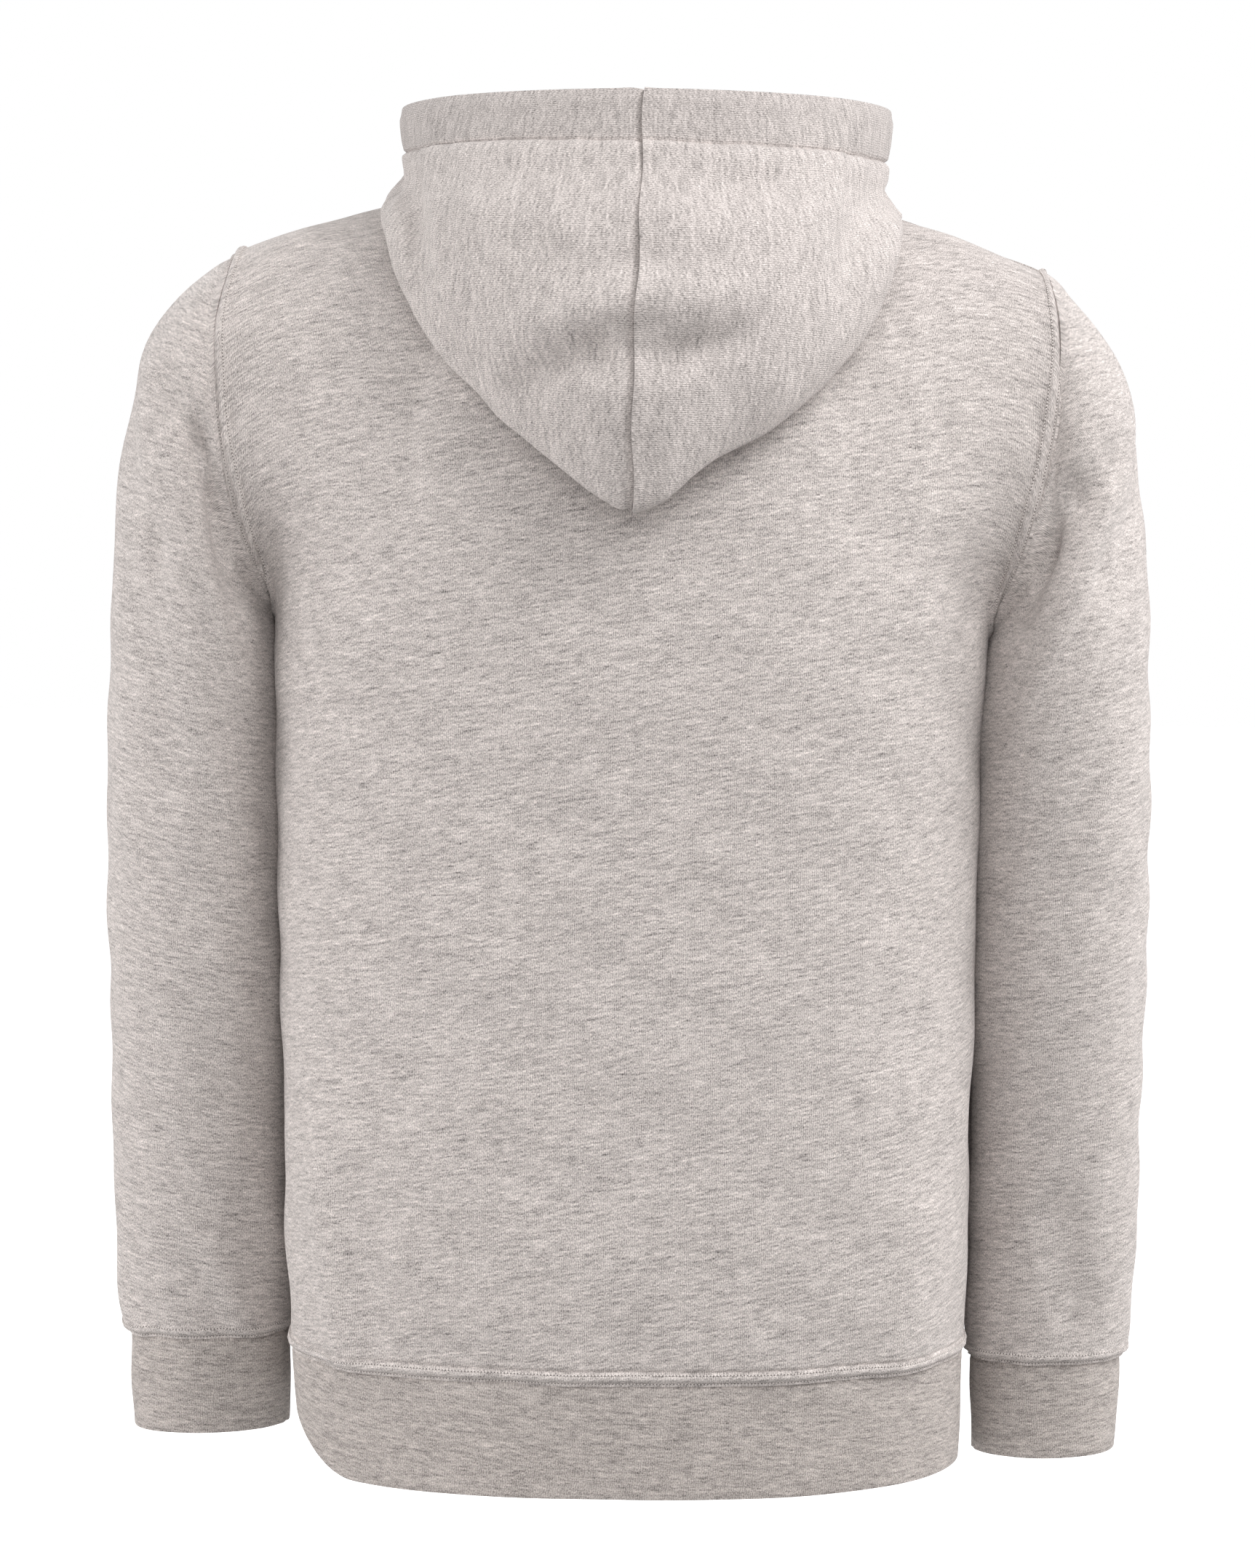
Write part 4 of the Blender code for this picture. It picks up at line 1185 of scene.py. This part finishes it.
class NodeSheet:
    """Adds and joins the nodes of one material or of the surround."""

    def __init__(self, tree):
        self.tree = tree
        self.made = 0

    def add(self, kind, inputs, **settings):
        node = self.tree.nodes.new("ShaderNode" + kind)
        self.made += 1
        node.location = (-1800 + 190 * (self.made % 9), 500 - 240 * (self.made // 9))
        for key, value in settings.items():
            setattr(node, key, value)
        self.feed(node, inputs)
        return node

    def feed(self, node, inputs):
        """Joins another node's output to each named input, or sets its value."""
        for socket, value in inputs.items():
            if isinstance(value, bpy.types.NodeSocket):
                self.tree.links.new(value, node.inputs[socket])
            else:
                node.inputs[socket].default_value = value

    def math(self, operation, first, second=0.0, *third):
        return self.add("Math", dict(enumerate((first, second, *third))), operation=operation).outputs[0]

    def noise(self, place, length, height, turn, detail, roughness, depth):
        """Noise in flecks of a given length and height on the cloth, turned by an angle."""
        spread = self.add("Mapping", {
            "Vector": place,
            "Location": (0.0, 0.0, depth),
            "Rotation": (0.0, 0.0, math.radians(turn)),
            "Scale": (length, height, 1.0),
        }, vector_type="TEXTURE").outputs[0]
        inputs = {"Vector": spread, "Scale": 1.0, "Detail": detail, "Roughness": roughness}
        return self.add("TexNoise", inputs, noise_dimensions="3D").outputs[0]

    def past(self, value, low, high):
        """How far a value has risen from a low mark to a high one, from 0 to 1."""
        inputs = {"Value": value, "From Min": low, "From Max": high}
        return self.add("MapRange", inputs, interpolation_type="SMOOTHSTEP").outputs[0]

    def speckle(self, colour, dark, pale, scale, detail):
        """A colour that noise varies between two shades, and the noise."""
        place = self.add("TexCoord", {}).outputs["Object"]
        noise = self.add("TexNoise", {"Vector": place, "Scale": scale, "Detail": detail}).outputs[0]
        shades = {0: noise, 6: shade(colour, dark), 7: shade(colour, pale)}
        return self.add("Mix", shades, data_type="RGBA", clamp_factor=True).outputs[2], noise


def shade(colour, share):
    """A colour made darker or lighter, as four numbers."""
    return (*(channel * share for channel in colour), 1.0)


def new_material(name):
    """A material, the sheet that its nodes are added to, and its shader."""
    material = bpy.data.materials.new(name)
    material.use_nodes = True
    return material, NodeSheet(material.node_tree), material.node_tree.nodes["Principled BSDF"]


def cloth_material(scene, knit):
    """Brushed heather knit: wales and courses, light and dark fibre streaks, a soft sheen, and on the hood
    painted shade over the turned hem.
    """
    if knit.name in bpy.data.materials:
        return bpy.data.materials[knit.name]
    material, sheet, shader = new_material(knit.name)
    sizes = scene.hoodie_sizes
    colour = getattr(scene.hoodie_colours, knit.colour)
    place = sheet.add("UVMap", {}, uv_map=CLOTH_MAP).outputs[0]
    apart = sheet.add("SeparateXYZ", {0: place})
    layers = {}
    for fibre in FIBRES:
        size = knit.grain_size if fibre.name == "grains" else (fibre.length, fibre.height)
        turn = knit.grain_turn * fibre.turn
        made = sheet.noise(place, *size, turn, fibre.detail, fibre.roughness, fibre.depth)
        layers[fibre.name] = made if fibre.low is None else sheet.past(made, fibre.low, fibre.high)

    wale_axis, course_axis = (0, 1) if abs(knit.grain_turn) < 45 else (1, 0)
    drift = sheet.math("MULTIPLY", sheet.math("SUBTRACT", layers["drift"], 0.5), WALE_DRIFT)
    across, down = (
        sheet.math("ADD", sheet.math("MULTIPLY", apart.outputs[axis], 1 / size), drift)
        for axis, size in ((wale_axis, getattr(sizes, knit.wale)), (course_axis, sizes.course_height)))
    ridge = sheet.math("ABSOLUTE", sheet.math("SINE", sheet.math("MULTIPLY", across, math.pi)))
    slant = sheet.math("MULTIPLY", sheet.math("PINGPONG", across, 0.5), LOOP_SLANT)
    loops = sheet.math("SINE", sheet.math("MULTIPLY", sheet.math("ADD", down, slant), 2 * math.pi))
    loops = sheet.math("MULTIPLY_ADD", loops, 0.5, 0.5)
    layers.update(ridge=ridge, loops=loops)

    value = 1.0
    for tone in TONES:
        strength = knit.wale_contrast if tone.layer == "ridge" else tone.strength
        strength *= knit.streaks if tone.streaked else 1.0
        above = sheet.math("SUBTRACT", layers[tone.layer], tone.middle)
        value = sheet.math("MULTIPLY_ADD", above, strength, value)
    # Painted shade: the hood's turned-in hem band is darkened in colour, standing for the shade of a band
    # that leans down from the light
    if knit.hem_share < 1:
        hem_line = -HOOD_HEM_WIDTH
        hem_shade_mask = sheet.past(apart.outputs[1], hem_line - HOOD_HEM_STEP, hem_line + HOOD_HEM_STEP)
        value = sheet.math("MULTIPLY", value, sheet.math("MULTIPLY_ADD", hem_shade_mask, knit.hem_share - 1, 1.0))
    tint = sheet.add("VectorMath", {0: colour[:], "Scale": value}, operation="SCALE").outputs[0]

    height = sheet.math("MULTIPLY", ridge, sheet.math("MULTIPLY_ADD", loops, LOOP_SHARE, 1 - LOOP_SHARE))
    for layer, share in ROUGH_LAYERS:
        height = sheet.math("MULTIPLY_ADD", layers[layer], share, height)
    bump = sheet.add("Bump", {"Strength": knit.relief, "Distance": 0.0005, "Height": height})
    sheet.feed(shader, {
        "Base Color": tint,
        "Normal": bump.outputs[0],
        "Roughness": 0.93,
        "Specular IOR Level": 0.18,
        "Sheen Weight": knit.sheen,
        "Sheen Roughness": 0.45,
        "Sheen Tint": (1.0, 0.97, 0.95, 1.0),
    })
    material.diffuse_color = shade(colour, 1.0)
    return material


def thread_material(scene, name_and_colour):
    """Spun sewing thread with a fine twist, or the painted shade of the needle holes beside it."""
    name, colour_name = name_and_colour
    if name in bpy.data.materials:
        return bpy.data.materials[name]
    material, sheet, shader = new_material(name)
    colour = getattr(scene.hoodie_colours, colour_name)
    tint, twist = sheet.speckle(colour, 0.72, 1.22, 3200.0, 2.0)
    bump = sheet.add("Bump", {"Strength": 0.4, "Distance": 0.0001, "Height": twist})
    sheet.feed(shader, {"Base Color": tint, "Normal": bump.outputs[0], "Roughness": 0.7})
    material.diffuse_color = shade(colour, 1.0)
    return material


def floor_material(name, colour):
    """Pale studio paper, with a faint mottle."""
    material, sheet, shader = new_material(name)
    sheet.feed(shader, {
        "Base Color": sheet.speckle(colour, 0.99, 1.0, 3.0, 3.0)[0],
        "Emission Color": shade(colour, 1.0),
        "Emission Strength": 0.5,
        "Roughness": 0.9,
        "Specular IOR Level": 0.1,
    })
    return material


# ---------------------------------------------------------------------------
# Studio


def add_floor(scene, studio):
    bpy.ops.mesh.primitive_circle_add(
        vertices=96, radius=FLOOR_RADIUS, fill_type="NGON", location=(0, 0, studio.floor_height))
    floor = bpy.context.active_object
    floor.name = "studio_floor"
    floor.data.materials.append(floor_material("studio_paper", scene.hoodie_colours.floor))
    floor.visible_diffuse = False


def add_surround(scene, studio):
    """A white backdrop that lights the garment less brightly than it looks."""
    world = bpy.data.worlds.new("white_surround")
    world.use_nodes = True
    nodes = world.node_tree.nodes
    sheet = NodeSheet(world.node_tree)
    sheet.feed(nodes["Background"], {"Color": (1.0, 1.0, 1.0, 1.0), "Strength": 1.0})
    facing = sheet.add("SeparateXYZ", {0: sheet.add("TexCoord", {}).outputs["Generated"]})
    brightness = sheet.add("MapRange", {
        "Value": facing.outputs["Z"],
        "From Min": -SURROUND_EDGE,
        "From Max": SURROUND_EDGE,
        "To Min": studio.surround * (1 - SURROUND_SPREAD),
        "To Max": studio.surround * (1 + SURROUND_SPREAD),
    })
    lighting = sheet.add("Background", {"Strength": brightness.outputs[0]})
    seen = sheet.add("LightPath", {}).outputs["Is Camera Ray"]
    either = sheet.add("MixShader", {0: seen, 1: lighting.outputs[0], 2: nodes["Background"].outputs[0]})
    sheet.feed(nodes["World Output"], {"Surface": either.outputs[0]})
    scene.world = world
    scene.view_settings.view_transform = "Standard"


def add_light(scene, light, power):
    lamp = bpy.data.lights.new(light.name, "AREA")
    lamp.energy = power * light.share
    lamp.size = light.size
    holder = bpy.data.objects.new(light.name, lamp)
    holder.location = light.place
    holder.rotation_mode = "QUATERNION"
    holder.rotation_quaternion = (Vector(light.aim) - Vector(light.place)).to_track_quat("-Z", "Y")
    scene.collection.objects.link(holder)


def add_camera(scene, studio):
    turn, pitch, roll = studio.camera_turn, studio.camera_pitch, studio.camera_roll
    lens = bpy.data.cameras.new("catalogue_camera")
    lens.lens = studio.focal_length
    lens.sensor_width = SENSOR_HEIGHT
    camera = bpy.data.objects.new("catalogue_camera", lens)
    from_middle = Vector((-math.sin(turn), math.cos(turn), 0.0))
    forward = -from_middle * math.cos(pitch) - Vector((0.0, 0.0, math.sin(pitch)))
    right = forward.cross(Vector((0.0, 0.0, 1.0))).normalized()
    up = right.cross(forward)
    rolled_right = right * math.cos(roll) + up * math.sin(roll)
    rolled_up = up * math.cos(roll) - right * math.sin(roll)
    facing = Matrix((rolled_right, rolled_up, -forward)).transposed().to_4x4()
    place = from_middle * studio.camera_distance + Vector((0.0, 0.0, studio.camera_height))
    camera.matrix_world = Matrix.Translation(place) @ facing
    scene.collection.objects.link(camera)
    scene.camera = camera


# ---------------------------------------------------------------------------
# Settings


def length_setting(name, description, default, low, high):
    return bpy.props.FloatProperty(
        name=name, description=description, default=default, min=low, max=high, precision=5, unit="LENGTH")


def angle_setting(name, description, degrees):
    return bpy.props.FloatProperty(
        name=name, description=description, default=math.radians(degrees), subtype="ANGLE")


def colour_setting(name, description, default):
    return bpy.props.FloatVectorProperty(
        name=name, description=description, default=default, size=3, min=0.0, max=1.0, subtype="COLOR")


class HoodieSizes(bpy.types.PropertyGroup):
    """Sizes of the knit and the stitching."""

    wale_width: length_setting(
        "Wale width", "Width of one column of knitted loops in the fleece", 0.0011, 0.0005, 0.003)
    course_height: length_setting(
        "Course height", "Height of one row of knitted loops", 0.0008, 0.0004, 0.003)
    rib_width: length_setting(
        "Rib width", "Width of one rib in the cuffs and hem band", 0.0012, 0.0008, 0.006)
    stitch_length: length_setting(
        "Stitch length", "Length of one stitch of the twin-needle seams", 0.0018, 0.001, 0.005)
    stitch_cover: bpy.props.FloatProperty(
        name="Stitch cover", description="Share of a stitch's length that shows above the cloth",
        default=0.62, min=0.3, max=0.95, subtype="FACTOR")
    thread_radius: length_setting("Thread radius", "Radius of the sewing thread", 0.00033, 0.0001, 0.001)
    hole_radius: length_setting(
        "Needle hole radius", "Radius of the dark hole at each end of a stitch", 0.00042, 0.0001, 0.001)
    thread_lift: bpy.props.FloatProperty(
        name="Thread lift", description="How far the thread stands out of the cloth, in radii",
        default=0.45, min=-0.5, max=1.0)


class HoodieColours(bpy.types.PropertyGroup):
    """Colours of the cloth and thread."""

    fleece: colour_setting("Fleece", "Mean colour of the body and sleeves", (0.50, 0.455, 0.435))
    hood: colour_setting("Hood", "Mean colour of the hood", (0.495, 0.45, 0.431))
    rib: colour_setting("Rib", "Mean colour of the cuffs and hem band", (0.42, 0.378, 0.355))
    thread: colour_setting("Thread", "Colour of the sewing thread", (0.70, 0.65, 0.62))
    # Painted shade: the dark colour of the needle-hole discs stands for the shadow inside the holes
    holes: colour_setting(
        "Needle holes", "Colour of the shadowed holes between the stitches", (0.17, 0.15, 0.14))
    floor: colour_setting("Floor", "Colour of the studio floor", (0.93, 0.93, 0.93))


class HoodieStudio(bpy.types.PropertyGroup):
    """Light, floor and camera."""

    surround: bpy.props.FloatProperty(
        name="Surround", description="How strongly the white surround lights the garment",
        default=0.75, min=0.0, max=5.0)
    key_power: bpy.props.FloatProperty(
        name="Key light", description="Power of the large light above and to the right",
        default=40.0, min=0.0, max=500.0, unit="POWER")
    floor_height: length_setting("Floor height", "Height of the floor below the neck", -0.95, -3.0, -0.75)
    camera_distance: length_setting(
        "Camera distance", "Distance of the camera from the garment's middle", 2.0, 1.0, 6.0)
    camera_height: length_setting("Camera height", "Height of the camera from the neck", -0.196, -1.0, 1.0)
    camera_turn: angle_setting(
        "Camera turn", "Angle of the camera round the garment from straight behind", 2.3)
    camera_pitch: angle_setting("Camera pitch", "Angle that the camera looks down", 3.78)
    camera_roll: angle_setting("Camera roll", "Angle that the camera is rolled", 0.9)
    focal_length: bpy.props.FloatProperty(
        name="Focal length", description="Focal length in millimetres on a sensor 36 mm long",
        default=82.8, min=20.0, max=300.0)


# ---------------------------------------------------------------------------
# Operators


class HOODIE_OT_body_panels(bpy.types.Operator):
    """Make the back and front panels"""

    bl_idname = "hoodie.body_panels"
    bl_label = "Body panels"

    def execute(self, context):
        for name, side in (("back_panel", 1), ("front_panel", -1)):
            grid, cloth, lower_rows = dressed_panel(name, side)
            piece = add_cloth(context.scene, name, grid, cloth, False, side > 0)
            hung = hang(grid)
            armholes = hung[lower_rows + 2:-1].transpose(1, 0, 2)
            seams = ((hung, False, 1.0), (armholes, False, ARMHOLE_HOLES), (armholes, True, ARMHOLE_HOLES))
            add_stitching(context.scene, name, piece, hung, False, -side, seams)
        return {"FINISHED"}


class HOODIE_OT_sleeves(bpy.types.Operator):
    """Make the two set-in sleeves"""

    bl_idname = "hoodie.sleeves"
    bl_label = "Sleeves"

    def execute(self, context):
        for name, facing in (("sleeve_left", -1), ("sleeve_right", 1)):
            grid, cloth = dressed_sleeve(name)
            grid = on_its_side(name, grid)
            piece = add_cloth(context.scene, name, grid, cloth, True, facing < 0)
            hung = hang(grid)
            add_stitching(context.scene, name, piece, hung, True, facing, ((hung, True, 1.0),))
        return {"FINISHED"}


class HOODIE_OT_cuffs(bpy.types.Operator):
    """Make the two ribbed cuffs"""

    bl_idname = "hoodie.cuffs"
    bl_label = "Cuffs"

    def execute(self, context):
        for name in ("cuff_left", "cuff_right"):
            grid, cloth = dressed_cuff(name)
            add_cloth(context.scene, name, on_its_side(name, grid), cloth, True, not is_right(name))
        return {"FINISHED"}


class HOODIE_OT_hem_band(bpy.types.Operator):
    """Make the ribbed hem band"""

    bl_idname = "hoodie.hem_band"
    bl_label = "Hem band"

    def execute(self, context):
        add_cloth(context.scene, "hem_band", *dressed_hem("hem_band"), True, True)
        return {"FINISHED"}


class HOODIE_OT_hood(bpy.types.Operator):
    """Make the two halves of the hood"""

    bl_idname = "hoodie.hood"
    bl_label = "Hood"

    def execute(self, context):
        panels = [panel_grid(side)[0] for side in (1, -1)]
        faces = [grid_faces(panel, grid_corners(panel, False, False)) for panel in panels]
        body = BVHTree.FromPolygons(*joined(zip([panel.reshape(-1, 3) for panel in panels], faces)))
        for name in ("hood_left", "hood_right"):
            grid, cloth = dressed_hood(name, body)
            levelled = level_hood(on_its_side(name, grid))
            piece = add_cloth(context.scene, name, levelled, cloth, False, is_right(name))
            thicken_hem(piece, grid)
        return {"FINISHED"}


class HOODIE_OT_studio(bpy.types.Operator):
    """Make the floor, the lights and the camera"""

    bl_idname = "hoodie.studio"
    bl_label = "Studio"

    def execute(self, context):
        scene = context.scene
        studio = scene.hoodie_studio
        add_floor(scene, studio)
        add_surround(scene, studio)
        for light in LIGHTS:
            add_light(scene, light, studio.key_power)
        add_camera(scene, studio)
        return {"FINISHED"}


class HOODIE_PT_dressing(bpy.types.Panel):
    """Lists the pieces, their settings and the studio"""

    bl_idname = "HOODIE_PT_dressing"
    bl_label = "Hoodie"
    bl_space_type = "VIEW_3D"
    bl_region_type = "UI"
    bl_category = "Hoodie"

    def draw(self, context):
        for group in SETTINGS:
            settings = getattr(context.scene, group)
            box = self.layout.box()
            for key in settings.bl_rna.properties.keys():
                if key not in ("rna_type", "name"):
                    box.prop(settings, key)
        for operator in OPERATORS:
            self.layout.operator(operator.bl_idname)


SETTINGS = {
    "hoodie_sizes": HoodieSizes,
    "hoodie_colours": HoodieColours,
    "hoodie_studio": HoodieStudio,
}
OPERATORS = (
    HOODIE_OT_body_panels,
    HOODIE_OT_sleeves,
    HOODIE_OT_cuffs,
    HOODIE_OT_hem_band,
    HOODIE_OT_hood,
    HOODIE_OT_studio,
)
CLASSES = (*SETTINGS.values(), *OPERATORS, HOODIE_PT_dressing)


def register():
    for cls in CLASSES:
        bpy.utils.register_class(cls)
    for key, group in SETTINGS.items():
        setattr(bpy.types.Scene, key, bpy.props.PointerProperty(type=group))


def unregister():
    for key in SETTINGS:
        delattr(bpy.types.Scene, key)
    for cls in reversed(CLASSES):
        bpy.utils.unregister_class(cls)


def main():
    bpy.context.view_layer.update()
    register()
    for item in list(bpy.data.objects):
        if item.type in ("CAMERA", "LIGHT"):
            bpy.data.objects.remove(item, do_unlink=True)
    bpy.ops.hoodie.body_panels()
    bpy.ops.hoodie.sleeves()
    bpy.ops.hoodie.cuffs()
    bpy.ops.hoodie.hem_band()
    bpy.ops.hoodie.hood()
    bpy.ops.hoodie.studio()
    bpy.context.view_layer.update()


if __name__ == "__main__":
    main()
